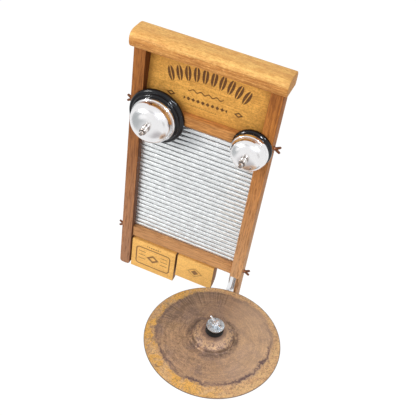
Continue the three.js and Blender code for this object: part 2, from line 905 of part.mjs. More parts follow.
function cutBlockScrewHoles(solid) {
  let cut = solid;
  for (const block of Object.values(blocks)) {
    for (const x of blockScrewPlaces(block)) {
      const top = lowerRailBottom + blockScrewBite + jointGap;
      const hole = alongY(rod(blockScrewRadius + threadClearance, lowerRailBottom - cutOverrun, top));
      cut = cut.subtract(hole.translate([x, 0, slotDepthPlace()]));
    }
  }
  return cut;
}

function woodBlock(block) {
  const top = lowerRailBottom - block.top;
  const bottom = top - block.height;
  const front = boardDepth - blockFrontSetback;
  const back = front - blockDepth;
  const shape = roundedShape([
    [back, bottom, blockBackRadius],
    [front, bottom, blockFrontRadius],
    [front, top, blockFrontRadius],
    [back, top, blockFrontRadius],
  ]);
  const low = block.x - block.width / 2;
  const high = block.x + block.width / 2;
  let solid = sweptAcross(shape, low, high, edgeBevel, cornerSteps);
  const slotTop = top - blockTopWall;
  const centre = slotDepthPlace();
  const slot = box(
    low + blockEndWall,
    high - blockEndWall,
    bottom - cutOverrun,
    slotTop,
    centre - slotWidth / 2,
    centre + slotWidth / 2,
  );
  solid = solid.subtract(slot);
  for (const x of blockScrewPlaces(block)) {
    const hole = alongY(rod(blockScrewRadius + threadClearance, slotTop - cutOverrun, top + cutOverrun));
    solid = solid.subtract(hole.translate([x, 0, centre]));
  }
  return solid;
}

function blockSpacer(block) {
  const low = lowerRailBottom - block.top + jointGap;
  const high = lowerRailBottom - jointGap;
  return alongY(ring(blockScrewRadius + threadClearance, spacerRadius, low, high, smallRoundSteps));
}

function blockScrew(block) {
  const seat = lowerRailBottom - block.top - blockTopWall - jointGap;
  return alongY(turned([
    [0, seat - blockScrewHeadHeight],
    [blockScrewHeadRadius, seat - blockScrewHeadHeight],
    [blockScrewHeadRadius, seat],
    [blockScrewRadius, seat],
    [blockScrewRadius, lowerRailBottom + blockScrewBite],
    [0, lowerRailBottom + blockScrewBite],
  ], smallRoundSteps));
}

function woodBlocks() {
  for (const [side, block] of Object.entries(blocks)) {
    addPiece(side + "_wood_block", woodBlock(block), blockWood);
    blockScrewPlaces(block).forEach((x, i) => {
      const place = [x, 0, slotDepthPlace()];
      addPiece(side + "_block_spacer_" + (i + 1), blockSpacer(block).translate(place), greyRubber);
      addPiece(side + "_block_screw_" + (i + 1), blockScrew(block).translate(place), steel);
    });
  }
}

// Cymbal arm and cymbal

function armPath() {
  const top = new THREE.Vector3(armTubeX, armSeatTop - jointGap, armTubeDepth);
  const r = armBendRadius;
  const run = armRunHeight;
  const path = new THREE.CurvePath();
  const corner = (from, via, to) => path.add(new THREE.QuadraticBezierCurve3(from, via, to));
  const bendStart = new THREE.Vector3(armTubeX, run + r, armTubeDepth);
  const bendEnd = new THREE.Vector3(armTubeX, run, armTubeDepth + r);
  const riseStart = new THREE.Vector3(cymbalX, run, cymbalDepth - r);
  const riseEnd = new THREE.Vector3(cymbalX, run + r, cymbalDepth);
  path.add(new THREE.LineCurve3(top, bendStart));
  corner(bendStart, new THREE.Vector3(armTubeX, run, armTubeDepth), bendEnd);
  const reach = (riseStart.z - bendEnd.z) / 3;
  const easeOut = bendEnd.clone().add(new THREE.Vector3(0, 0, reach));
  const easeIn = riseStart.clone().sub(new THREE.Vector3(0, 0, reach));
  path.add(new THREE.CubicBezierCurve3(bendEnd, easeOut, easeIn, riseStart));
  corner(riseStart, new THREE.Vector3(cymbalX, run, cymbalDepth), riseEnd);
  path.add(new THREE.LineCurve3(riseEnd, new THREE.Vector3(cymbalX, armEndHeight(), cymbalDepth)));
  return path;
}

function cupTop() {
  return cymbalHeight + bowHeight + cupHeight;
}

function stackLevels() {
  const feltTop = cupTop() - cymbalThickness - jointGap;
  const feltBottom = feltTop - lowerFeltHeight;
  const washerBottom = feltBottom - jointGap - lowerWasherHeight;
  const nutBottom = washerBottom - jointGap - lockNutHeight;
  return { feltBottom, washerBottom, nutBottom };
}

function armEndHeight() {
  return stackLevels().nutBottom - jointGap - postFlangeHeight - jointGap;
}

function tubeAlong(path, radius, wall) {
  const section = new THREE.Shape();
  section.absarc(0, 0, radius, 0, 2 * Math.PI);
  const bore = new THREE.Path();
  bore.absarc(0, 0, radius - wall, 0, 2 * Math.PI, true);
  section.holes.push(bore);
  const geometry = new THREE.ExtrudeGeometry(section, {
    steps: tubeRunSteps,
    curveSegments: tubeCornerSteps,
    extrudePath: path,
  });
  return solidOf(geometry);
}

function armScrewHeights() {
  const first = armSeatTop - armScrewDrop;
  return [first, first - armScrewPitch];
}

function cymbalArm() {
  const tube = tubeAlong(armPath(), armTubeRadius, armTubeWall);
  const holeEnd = armTubeDepth - armTubeRadius + armTubeWall + cutOverrun;
  return armScrewHeights().reduce((solid, y) => {
    const hole = rod(armScrewRadius + threadClearance, 0, holeEnd);
    return solid.subtract(hole.translate([armTubeX, y, 0]));
  }, tube);
}

function drillLegForArm(leg) {
  return armScrewHeights().reduce((solid, y) => {
    const hole = rod(armScrewRadius + threadClearance, -cutOverrun, armSeatBack + cutOverrun);
    return solid.subtract(hole.translate([armTubeX, y, 0]));
  }, leg);
}

function armScrew() {
  const head = -jointGap;
  return turned([
    [0, head - armScrewHeadHeight],
    [armScrewHeadRadius - jointGap, head - armScrewHeadHeight],
    [armScrewHeadRadius, head - armScrewHeadHeight / 2],
    [armScrewHeadRadius, head],
    [armScrewRadius, head],
    [armScrewRadius, armScrewLength],
    [0, armScrewLength],
  ], smallRoundSteps);
}

function cymbalPost() {
  const foot = armEndHeight();
  const { nutBottom } = stackLevels();
  const plug = armTubeRadius - armTubeWall - jointGap;
  const top = cupTop() + upperFeltHeight + topWasherHeight + wingNutHubHeight + 3 * jointGap + studRise;
  return alongY(turned([
    [0, foot - postPlugDepth],
    [plug, foot - postPlugDepth],
    [plug, foot + jointGap],
    [armTubeRadius, foot + jointGap],
    [armTubeRadius, nutBottom - jointGap],
    [postStudRadius, nutBottom - jointGap],
    [postStudRadius, top],
    [0, top],
  ], postRoundSteps));
}

function hexRing(innerRadius, acrossCorners, low, high) {
  const blank = rod(acrossCorners, low, high, hexSteps);
  return blank.subtract(rod(innerRadius, low - cutOverrun, high + cutOverrun));
}

function cymbalProfile() {
  const top = [];
  for (let i = 0; i <= bowSteps; i += 1) {
    const share = i / bowSteps;
    const radius = cymbalRadius - (cymbalRadius - cupRadius) * share;
    top.push([radius, bowHeight * (share + bowBulgeShare * Math.sin(Math.PI * share))]);
  }
  const flat = upperFeltRadius + jointGap;
  top.push(...domeArc(cupRadius, cupHeight, bowHeight, flat, cymbalHoleRadius, cupSteps).slice(1));
  const under = top.map(([radius, height]) => [radius, height - cymbalThickness]).reverse();
  return [...top, ...under, top[0]];
}

function wingNut(low) {
  const bore = postStudRadius + threadClearance;
  const hub = ring(bore, wingNutHubRadius, low, low + wingNutHubHeight, smallRoundSteps);
  const foot = low + wingNutHubHeight / 4;
  const top = low + wingNutHubHeight + wingNutRise;
  const wing = roundedShape([
    [bore + jointGap, foot, 0],
    [wingNutReach - wingNutRise / 2, foot + wingNutRise / 2, wingNutRise / 4],
    [wingNutReach, top - wingNutRise / 2, wingNutRise / 4],
    [wingNutReach - wingNutRise / 2, top, wingNutRise / 4],
    [bore + jointGap, low + wingNutHubHeight, 0],
  ]);
  const blank = extruded(wing, wingNutThickness, 0, smallCornerSteps);
  const plate = blank.translate([0, 0, -wingNutThickness / 2]);
  const other = plate.rotate([0, 180, 0]);
  return alongY(hub).add(plate).add(other).rotate([0, wingNutTurnDegrees, 0]);
}

// The cymbal rocks on its felts, which are squeezed to its slope.
function leanNormal() {
  const lean = THREE.MathUtils.degToRad(cymbalLeanDegrees);
  return new THREE.Vector3(-Math.sin(lean), Math.cos(lean), 0);
}

function trimUnderCup(felt) {
  const normal = leanNormal();
  const level = normal.y * cymbalHeight + bowHeight + cupHeight - cymbalThickness - jointGap;
  return felt.trimByPlane(normal.clone().negate().toArray(), -level);
}

function trimOverCup(felt) {
  const normal = leanNormal();
  return felt.trimByPlane(normal.toArray(), normal.y * cymbalHeight + bowHeight + cupHeight + jointGap);
}

function leaningCymbal() {
  const level = alongY(turned(cymbalProfile(), wideRoundSteps));
  return level.rotate([0, 0, cymbalLeanDegrees]).translate([0, cymbalHeight, 0]);
}

function cymbalStack() {
  const seat = new THREE.Group();
  seat.position.set(cymbalX, 0, cymbalDepth);
  board.add(seat);
  const { feltBottom, washerBottom, nutBottom } = stackLevels();
  const bore = postStudRadius + threadClearance;
  addPiece("cymbal_post", cymbalPost(), chrome, seat);
  const lockNut = hexRing(bore, lockNutRadius, nutBottom, nutBottom + lockNutHeight);
  addPiece("cymbal_lock_nut", alongY(lockNut), steel, seat);
  const lowerWasher = ring(bore, lowerWasherRadius, washerBottom, washerBottom + lowerWasherHeight);
  addPiece("cymbal_lower_washer", alongY(lowerWasher), steel, seat);
  const lowerFelt = alongY(ring(bore, lowerFeltRadius, feltBottom, cupTop()));
  addPiece("cymbal_lower_felt", trimUnderCup(lowerFelt), blackFelt, seat);
  addPiece("cymbal", leaningCymbal(), bronze, seat);
  const feltHigh = cupTop() + jointGap + upperFeltHeight;
  const washerLow = feltHigh + jointGap;
  const upperFelt = alongY(ring(bore, upperFeltRadius, cupTop() - cymbalThickness, feltHigh));
  addPiece("cymbal_upper_felt", trimOverCup(upperFelt), blackFelt, seat);
  const topWasher = ring(bore, topWasherRadius, washerLow, washerLow + topWasherHeight);
  addPiece("cymbal_top_washer", alongY(topWasher), chrome, seat);
  addPiece("cymbal_wing_nut", wingNut(washerLow + topWasherHeight + jointGap), chrome, seat);
}

function armAndCymbal() {
  addPiece("cymbal_arm", cymbalArm(), chrome);
  armScrewHeights().forEach((y, i) => {
    addPiece("cymbal_arm_screw_" + (i + 1), armScrew().translate([armTubeX, y, 0]), steel);
  });
  cymbalStack();
}

frame();
wingScrews();
callBell("left");
callBell("right");
woodBlocks();
armAndCymbal();

export default board;
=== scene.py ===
"""Looks for the washboard: smooth turned metal, ribbed sheet, grained wood and the studio."""
import json
import math
from functools import partialmethod, reduce

import bpy
from bpy.props import FloatProperty, FloatVectorProperty, IntProperty, PointerProperty
from mathutils import Matrix, Vector

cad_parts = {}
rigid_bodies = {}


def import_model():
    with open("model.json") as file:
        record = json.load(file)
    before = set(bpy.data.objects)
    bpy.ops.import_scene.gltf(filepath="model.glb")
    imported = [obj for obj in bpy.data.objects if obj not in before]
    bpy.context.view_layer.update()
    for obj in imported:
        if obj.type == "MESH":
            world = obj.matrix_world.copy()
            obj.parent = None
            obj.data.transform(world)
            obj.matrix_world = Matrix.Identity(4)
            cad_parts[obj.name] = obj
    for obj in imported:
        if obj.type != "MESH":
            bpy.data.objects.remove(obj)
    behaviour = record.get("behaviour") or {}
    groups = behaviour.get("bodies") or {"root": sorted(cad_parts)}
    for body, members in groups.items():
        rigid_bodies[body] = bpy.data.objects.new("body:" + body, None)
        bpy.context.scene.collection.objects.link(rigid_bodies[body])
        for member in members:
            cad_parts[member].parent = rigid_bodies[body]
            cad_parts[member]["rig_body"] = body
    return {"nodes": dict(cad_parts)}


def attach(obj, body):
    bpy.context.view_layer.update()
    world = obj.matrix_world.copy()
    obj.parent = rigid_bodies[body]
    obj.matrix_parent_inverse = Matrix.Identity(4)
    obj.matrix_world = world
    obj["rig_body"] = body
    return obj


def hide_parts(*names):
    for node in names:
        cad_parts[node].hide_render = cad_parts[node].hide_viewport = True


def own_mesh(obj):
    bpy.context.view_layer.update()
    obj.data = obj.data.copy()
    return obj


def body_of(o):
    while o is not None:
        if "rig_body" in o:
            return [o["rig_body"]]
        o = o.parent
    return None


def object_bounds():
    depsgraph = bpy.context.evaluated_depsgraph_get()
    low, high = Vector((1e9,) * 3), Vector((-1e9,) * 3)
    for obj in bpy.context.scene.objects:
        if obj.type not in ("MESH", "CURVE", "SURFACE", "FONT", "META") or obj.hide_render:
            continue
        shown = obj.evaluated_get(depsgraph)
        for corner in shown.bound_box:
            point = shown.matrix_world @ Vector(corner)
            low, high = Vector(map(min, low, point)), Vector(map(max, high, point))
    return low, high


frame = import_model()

bl_info = {
    "name": "Washboard looks",
    "version": (1, 0, 0),
    "blender": (4, 5, 0),
    "location": "View3D > Sidebar > Washboard",
    "description": "Dresses the washboard's frame with its finished surfaces",
    "category": "Object",
}

CAD_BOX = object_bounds()
MM = 0.001
BOARD_FACE = 25 * MM
CAMERA_EYE = Vector((0.2482, -0.7770, 0.5496))
CAMERA_RIGHT = Vector((0.9153, 0.3809, 0.1313))
CAMERA_UP = Vector((-0.3468, 0.5790, 0.7379))
CAMERA_LENS = 58.34
OUT = Vector((0, -1, 0))
MERGE_DISTANCE = 0.002 * MM

# Each bell's axis in metres, and in millimetres, with levels over the board's front, its
# base: flange radius, rim level, step radius, deck level
# dome: lip radius, dome radius, skirt height, dome height, and how square its curve is
# rim_height: the rolled lip's height, button: the rise from the dome's crown to the plunger's tip
BELLS = {
    "left": {
        "axis": Vector((-65 * MM, 0, -6.5 * MM)),
        "base": (43.7, 6.2, 38.2, 10.1),
        "dome": (34.4, 32.8, 3.2, 23.5, 3.0),
        "rim_height": 5.4,
        "button": 17.2,
    },
    "right": {
        "axis": Vector((82.3 * MM, 0, -3.8 * MM)),
        "base": (29.8, 6.6, 27.9, 10.8),
        "dome": (27.7, 26.4, 3.0, 18.2, 2.9),
        "rim_height": 4.6,
        "button": 18.2,
    },
}
DOME_WALL = 1.2
DOME_HOLE = 4.8
DOME_FLAT = 6.7
NECK_RISE = 10.3

# Each block's middle, width, top and height. From here on, lengths without MM are in millimetres.
BLOCKS = {"left": (-48.5, 81.6, -271.0, 66.0), "right": (29.0, 66.4, -269.0, 50.5)}
BLOCK_FRONT = 22
BLOCK_BACK = -1
BLOCK_EDGE = 1.6
BLOCK_FOOT = 15
SLOT_WIDTH = 8
SLOT_DEPTH = 10.5
SLOT_WALL = 8
SLOT_ROOF = 12
SLOT_OVERCUT = 4

CAP_BACK = -11.3
CAP_BOTTOM = 91.0
CAP_DEPTH = 44.8
CAP_HEIGHT = 25.0
CAP_REACH = 114.0

# The sheet is drawn as one rib in strips; a higher fullness makes the rib broader at its top.
SHEET_FOOT = -247.6
SHEET_HALF_WIDTH = 96.3
SHEET_DEPTH = 10.5
SHEET_THICKNESS = 1.0
SHEET_STRIPS = 4
RIB_PITCH = 8.5
RIB_HEIGHT = 3.0
RIB_STEPS = 14
RIB_FULLNESS = 2.8

ARM_ACROSS = 97.5
ARM_DEPTH = 13.0
ARM_TOP = -266.5
ARM_LOW = -319.0
ARM_END = -250.2
ARM_BEND = 27.0
ARM_RADIUS = 9
POST_DEPTH = 167
CYMBAL_RADIUS = 101.6
CYMBAL_HOLE = 5.5
CYMBAL_THICKNESS = 0.9
BOW_RISE = 7
CUP_RADIUS = 32
CUP_RISE = 13
CYMBAL_CENTRE = Vector((116.7, -POST_DEPTH, -253.7)) * MM
CYMBAL_LEAN = math.radians(1.8)
CYMBAL_AXIS = Vector((-math.sin(CYMBAL_LEAN), 0, math.cos(CYMBAL_LEAN)))

# Strengths of the studio's light; cover is how much of the floor is glow for the rays that are seen.
FLOOR_GLOW = 1.06
FLOOR_COVER = 0.93
SKY_LIGHT = 0.62
SKY_SEEN = 1.0


def colour(name, description, value):
    return FloatVectorProperty(
        name=name, description=description, subtype="COLOR", size=3, min=0, max=1, default=value
    )


class WashboardColours(bpy.types.PropertyGroup):
    """Colours that a user would change."""

    cap: colour("Cap", "Light wood of the cap rail", (1.0, 0.542, 0.172))
    panel: colour("Head panel", "Golden oak of the head panel", (0.78, 0.405, 0.085))
    left_stile: colour("Left stile", "Darker red-brown wood", (0.31, 0.11, 0.022))
    right_stile: colour("Right stile", "Red-brown wood", (0.43, 0.155, 0.028))
    rail: colour("Rails", "Wood of the two cross rails", (0.59, 0.27, 0.078))
    block: colour("Blocks", "Yellow wood of the blocks", (0.95, 0.53, 0.15))
    burn: colour("Burned marks", "Dark brown of the burned marks", (0.08, 0.027, 0.009))
    sheet: colour("Sheet", "Zinc of the rub sheet", (0.84, 0.86, 0.865))
    patina: colour("Patina", "Golden brown of the cymbal", (0.57, 0.33, 0.168))
    cloud: colour("Patina clouds", "Grey-brown clouds on the cymbal", (0.31, 0.20, 0.155))
    stain: colour("Patina stain", "Dark stain along the rim and in streaks", (0.10, 0.055, 0.06))
    rim: colour("Cymbal rim", "Golden bronze at the cymbal's rim", (0.76, 0.48, 0.22))
    rim_glow: colour("Rim glow", "Warmest gold at the cymbal's rim", (0.85, 0.45, 0.085))
    brass: colour("Wing screws", "Aged brass", (0.23, 0.088, 0.042))
    floor: colour("Floor", "Pale studio floor", (0.9, 0.9, 0.9))


class WashboardSizes(bpy.types.PropertyGroup):
    """Sizes and counts that a user would change."""

    turn_steps: IntProperty(
        name="Turning steps", description="Steps round a turned piece", default=96, min=24, max=256
    )
    rib_count: IntProperty(name="Ribs", description="Ribs of the rub sheet", default=28, min=1, max=60)
    floor_drop: FloatProperty(
        name="Floor drop", description="Height of the object's foot over the floor",
        default=0.35, min=0, unit="LENGTH",
    )
    lamp_power: FloatProperty(
        name="Lamp power", description="Power of the large soft lamp", default=14.0, min=0, unit="POWER"
    )


def colours():
    return bpy.context.scene.washboard_colours


def sizes():
    return bpy.context.scene.washboard_sizes


def body_name(node):
    return body_of(frame["nodes"][node])[0]


# Modelling


def clear_selection():
    if bpy.context.object and bpy.context.object.mode != "OBJECT":
        bpy.ops.object.mode_set(mode="OBJECT")
    bpy.ops.object.select_all(action="DESELECT")


def select_only(piece):
    clear_selection()
    bpy.context.view_layer.objects.active = piece
    piece.select_set(True)


def apply_place():
    bpy.ops.object.transform_apply(location=True, rotation=True, scale=True)


def pick_all():
    bpy.ops.mesh.select_all(action="SELECT")


def merge_corners():
    pick_all()
    bpy.ops.mesh.remove_doubles(threshold=MERGE_DISTANCE)


def tidy_mesh():
    """Merges the corners, turns the faces outward and leaves edit mode."""
    merge_corners()
    bpy.ops.mesh.normals_make_consistent(inside=False)
    bpy.ops.object.mode_set(mode="OBJECT")


def add_plane(name, size, place, **values):
    clear_selection()
    bpy.ops.mesh.primitive_plane_add(size=size, location=place, **values)
    plane = bpy.context.object
    plane.name = name
    return plane


def draw_line(name, points):
    """A polyline in edit mode, drawn by extruding one point."""
    line = add_plane(name, MM, points[0])
    apply_place()
    bpy.ops.object.mode_set(mode="EDIT")
    pick_all()
    bpy.ops.mesh.merge(type="CENTER")
    for before, after in zip(points, points[1:]):
        bpy.ops.mesh.extrude_vertices_move(TRANSFORM_OT_translate={"value": after - before})
    return line


def extrude(step):
    bpy.ops.mesh.extrude_region_move(TRANSFORM_OT_translate={"value": step})


def smooth(angle=35):
    bpy.ops.object.shade_smooth_by_angle(angle=math.radians(angle))


def turn(name, profile, foot, axis, angle=35, steps=None):
    """A piece turned round the axis that leaves foot. The profile is (radius, height) in millimetres."""
    across = axis.cross(Vector((0, 1, 0)) if abs(axis.y) < 0.5 else Vector((0, 0, 1))).normalized()
    points = [foot + across * (r * MM) + axis * (h * MM) for r, h in profile]
    piece = draw_line(name, points)
    pick_all()
    bpy.ops.mesh.spin(steps=steps or sizes().turn_steps, angle=2 * math.pi, center=foot, axis=axis)
    tidy_mesh()
    smooth(angle)
    return piece


def prism(name, outline, low, high):
    """An outline of (depth, height) points in millimetres, drawn out along the board's width."""
    points = [Vector((low, -depth, height)) * MM for depth, height in outline]
    piece = draw_line(name, [*points, points[0]])
    merge_corners()
    bpy.ops.mesh.edge_face_add()
    extrude(Vector(((high - low) * MM, 0, 0)))
    tidy_mesh()
    return piece


def use_modifier(kind, **values):
    """Adds a modifier to the active piece, sets it and applies it."""
    bpy.ops.object.modifier_add(type=kind)
    modifier = bpy.context.object.modifiers[-1]
    for key, value in values.items():
        setattr(modifier, key, value)
    bpy.ops.object.modifier_apply(modifier=modifier.name)


def ease_edges(width, segments=3, angle=50):
    use_modifier(
        "BEVEL", width=width * MM, segments=segments, limit_method="ANGLE",
        angle_limit=math.radians(angle), harden_normals=False,
    )


def merged(node, name):
    """A copy of a CAD node with its corners merged, left in edit mode with all selected."""
    piece = bpy.data.objects.new(name, frame["nodes"][node].data.copy())
    bpy.context.scene.collection.objects.link(piece)
    select_only(piece)
    bpy.ops.object.mode_set(mode="EDIT")
    merge_corners()
    return piece


def softened(node, width, segments=2):
    """A merged copy of a CAD node with its sharp edges eased."""
    piece = merged(node, node + "_eased")
    bpy.ops.mesh.dissolve_limited(angle_limit=math.radians(1))
    tidy_mesh()
    ease_edges(width, segments, 40)
    smooth()
    return piece


def arc(x, y, radius, start, end, steps):
    """Points on an arc round (x, y), with its angles in degrees."""
    angles = [math.radians(start + (end - start) * i / steps) for i in range(steps + 1)]
    return [(x + radius * math.cos(angle), y + radius * math.sin(angle)) for angle in angles]


def dome_arc(radius, height, foot, flat, steps, fullness=2.0):
    """A dome's curve from its shoulder up to the flat round its hole; a higher fullness squares it."""
    power = 2 / fullness
    end = math.acos((flat / radius) ** (1 / power))
    out = []
    for i in range(steps + 1):
        angle = end * i / steps
        rise = (math.sin(angle) / math.sin(end)) ** power
        out.append((radius * math.cos(angle) ** power, foot + height * rise))
    return out


def bezier(points, steps):
    """Points on a quadratic or cubic curve, without its first one."""
    out = []
    for i in range(1, steps + 1):
        level = list(points)
        while len(level) > 1:
            level = [a.lerp(b, i / steps) for a, b in zip(level, level[1:])]
        out.append(level[0])
    return out


def dress(piece, body, slot, material, *nodes):
    """Gives the piece its material, its body and the CAD nodes that it stands for; slot is not used."""
    piece.data.materials.clear()
    piece.data.materials.append(material)
    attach(piece, body)
    if nodes:
        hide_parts(*nodes)


def repaint(node, material):
    """Gives a CAD node that stays in the scene its material."""
    owner = frame["nodes"][node]
    if not owner.material_slots:
        owner.data.materials.append(material)
    for place in owner.material_slots:
        place.material = material


# Materials


class Nodes:
    """Adds and links nodes in one tree."""

    def __init__(self, tree):
        self.tree = tree

    def add(self, kind, **settings):
        node = self.tree.nodes.new(kind)
        for key, value in settings.items():
            setattr(node, key, value)
        return node

    def link(self, source, target):
        if isinstance(source, (int, float)):
            target.default_value = source
        elif hasattr(source, "__len__"):
            target.default_value = (*source, 1) if len(target.default_value) == 4 else source
        else:
            self.tree.links.new(source, target)

    def feed(self, kind, *values, **settings):
        """The first output of a new node, with its first inputs fed in turn."""
        node = self.add(kind, **settings)
        for value, socket in zip(values, node.inputs):
            self.link(value, socket)
        return node.outputs[0]

    def maths(self, operation, *values):
        return self.feed("ShaderNodeMath", *values, operation=operation)

    plus = partialmethod(maths, "ADD")
    minus = partialmethod(maths, "SUBTRACT")
    times = partialmethod(maths, "MULTIPLY")
    over = partialmethod(maths, "DIVIDE")
    larger = partialmethod(maths, "MAXIMUM")
    absolute = partialmethod(maths, "ABSOLUTE")

    def reach(self, x, y):
        return self.maths("SQRT", self.plus(self.times(x, x), self.times(y, y)))

    def ramp(self, value, low, high, out_low=0, out_high=1):
        """Runs softly from out_low to out_high as the value goes from low to high."""
        values = (value, low, high, out_low, out_high)
        return self.feed("ShaderNodeMapRange", *values, interpolation_type="SMOOTHSTEP")

    def fall(self, value, low, high):
        """Falls softly from one to nought as the value goes from low to high."""
        return self.ramp(value, low, high, 1, 0)

    def band(self, value, start, full, fade, end):
        """One from full to fade, and nought up to start and from end on."""
        return self.times(self.ramp(value, start, full), self.fall(value, fade, end))

    def seen(self):
        """One for rays that end in the picture, nought for those that only light something."""
        rays = self.add("ShaderNodeLightPath").outputs
        mirrored = self.larger(rays["Is Camera Ray"], rays["Is Glossy Ray"])
        return self.larger(mirrored, rays["Is Transmission Ray"])


class Surface(Nodes):
    """Builds one material's nodes on Object coordinates; tone is the colour so far."""

    tone = None

    def __init__(self, name, **values):
        self.material = bpy.data.materials.new(name)
        self.material.use_nodes = True
        super().__init__(self.material.node_tree)
        self.shader = self.tree.nodes["Principled BSDF"]
        for key, value in values.items():
            self.link(value, self.shader.inputs[key.replace("_", " ").title().replace("Ior", "IOR")])

    def place(self, scale=(1, 1, 1), move=(0, 0, 0), turned=(0, 0, 0)):
        where = self.add("ShaderNodeTexCoord").outputs["Object"]
        return self.feed("ShaderNodeMapping", where, move, turned, scale)

    def noise(self, place, scale, detail=4, roughness=0.5, distortion=0):
        node = self.add("ShaderNodeTexNoise")
        keys = ("Vector", "Scale", "Detail", "Roughness", "Distortion")
        for key, value in zip(keys, (place, scale, detail, roughness, distortion)):
            self.link(value, node.inputs[key])
        return node.outputs["Fac"]

    def mix(self, share, first, second):
        node = self.add("ShaderNodeMix", data_type="RGBA")
        for value, number in ((share, 0), (first, 6), (second, 7)):
            self.link(value, node.inputs[number])
        return node.outputs[2]

    def tinted(self, tone, mask, share, target):
        """The tone with a share of the target colour where the mask is."""
        return self.mix(self.times(mask, share), tone, target)

    def blend(self, mask, share, target):
        """Tints the surface's own tone."""
        self.tone = self.tinted(self.tone, mask, share, target)

    def split(self, vector):
        node = self.add("ShaderNodeSeparateXYZ")
        self.link(vector, node.inputs[0])
        return node.outputs

    def millimetres(self, move=(0, 0, 0)):
        return self.split(self.place((1 / MM, 1 / MM, 1 / MM), tuple(part / MM for part in move)))

    def facing(self, axis):
        """How far the surface looks along an axis, from -1 to 1."""
        return self.split(self.add("ShaderNodeTexCoord").outputs["Normal"])[axis]

    def board_level(self):
        """Millimetres over the board's front."""
        return self.minus(self.times(self.millimetres()[1], -1), BOARD_FACE / MM)

    def join(self, x, y, z):
        return self.feed("ShaderNodeCombineXYZ", x, y, z)

    def bump(self, height, depth):
        node = self.add("ShaderNodeBump")
        node.inputs["Distance"].default_value = depth
        self.link(height, node.inputs["Height"])
        return node.outputs[0]

    def finish(self, colour=None, roughness=None, normal=None):
        for value, key in ((colour, "Base Color"), (roughness, "Roughness"), (normal, "Normal")):
            if value is not None:
                self.link(value, self.shader.inputs[key])
        return self.material

    def finish_glowing(self, cover, behind, tint, strength):
        """Ends the material with a glow that covers its share of the shader behind it."""
        glow = self.feed("ShaderNodeEmission", tint, strength)
        mixed = self.feed("ShaderNodeMixShader", cover, behind, glow)
        self.link(mixed, self.tree.nodes["Material Output"].inputs["Surface"])
        return self.material


def shade(colour, factor):
    return tuple(min(1.0, c * factor) for c in colour)


def warm(colour, factor):
    """A darker colour that keeps its red longest, as stained wood does."""
    return tuple(c * factor**power for c, power in zip(colour, (1.0, 1.3, 1.7)))


class WoodSurface(Surface):
    """Grained wood; grain is the board's long axis, 0 for X, 1 for Y and 2 for Z."""

    def __init__(self, name, base, grain, seed, contrast, broad=60, blotch=0.0):
        super().__init__(name, specular_ior_level=0.2)
        self.base = base
        self.grain = grain
        ringed = self.grained(0.09, seed, broad, 3, 0.6, 1.1)
        rings = self.ramp(self.maths("PINGPONG", self.times(ringed, 11.0), 0.5), 0.0, 0.5)
        streaks = self.ramp(self.grained(0.035, seed * 1.7, 330, 5, 0.75), 0.34, 0.66)
        clouds = self.ramp(self.grained(0.2, seed * 2.3, 24, 2, 0.5), 0.3, 0.7)
        spots = self.ramp(self.grained(0.6, seed * 0.3, 130, 4, 0.7), 0.3, 0.7)
        pores = self.ramp(self.grained(0.05, seed * 0.9, 1100, 3, 0.65), 0.55, 0.68)
        mean = self.times(streaks, 0.42)
        for part, share in ((rings, 0.2), (clouds, 0.26), (spots, 0.12 + blotch)):
            mean = self.plus(mean, self.times(part, share))
        mean = self.ramp(self.minus(mean, blotch / 2), 0.12, 0.88)
        self.tone = self.mix(mean, warm(base, 1 - 0.75 * contrast), shade(base, 1 + 0.5 * contrast))
        self.blend(pores, 0.55 * contrast, warm(base, 0.35))
        self.height = self.minus(self.times(streaks, 0.5), pores)
        self.rough = self.plus(self.times(streaks, 0.15), 0.5)

    def grained(self, share, seed, *values):
        """Noise that is drawn out along the grain."""
        stretch = [1.0, 1.0, 1.0]
        stretch[self.grain] = share
        return self.noise(self.place(stretch, (seed, seed * 0.7, seed * 1.3)), *values)

    def burn(self, mask, share, tone):
        """Burned marks on the front, slightly uneven."""
        front = self.fall(self.facing(1), -0.8, -0.4)
        uneven = self.ramp(self.noise(self.place(), 500, 3, 0.6), 0.2, 0.6, 0.8, 1.0)
        self.blend(self.times(self.times(mask, front), uneven), share, tone)

    def done(self, ends=0.6):
        """Darkens the faces that lie across the grain and ends the material."""
        mask = self.ramp(self.absolute(self.facing(self.grain)), 0.7, 0.95)
        self.blend(mask, 1, warm(self.base, ends))
        return self.finish(self.tone, self.rough, self.bump(self.height, 0.15 * MM))


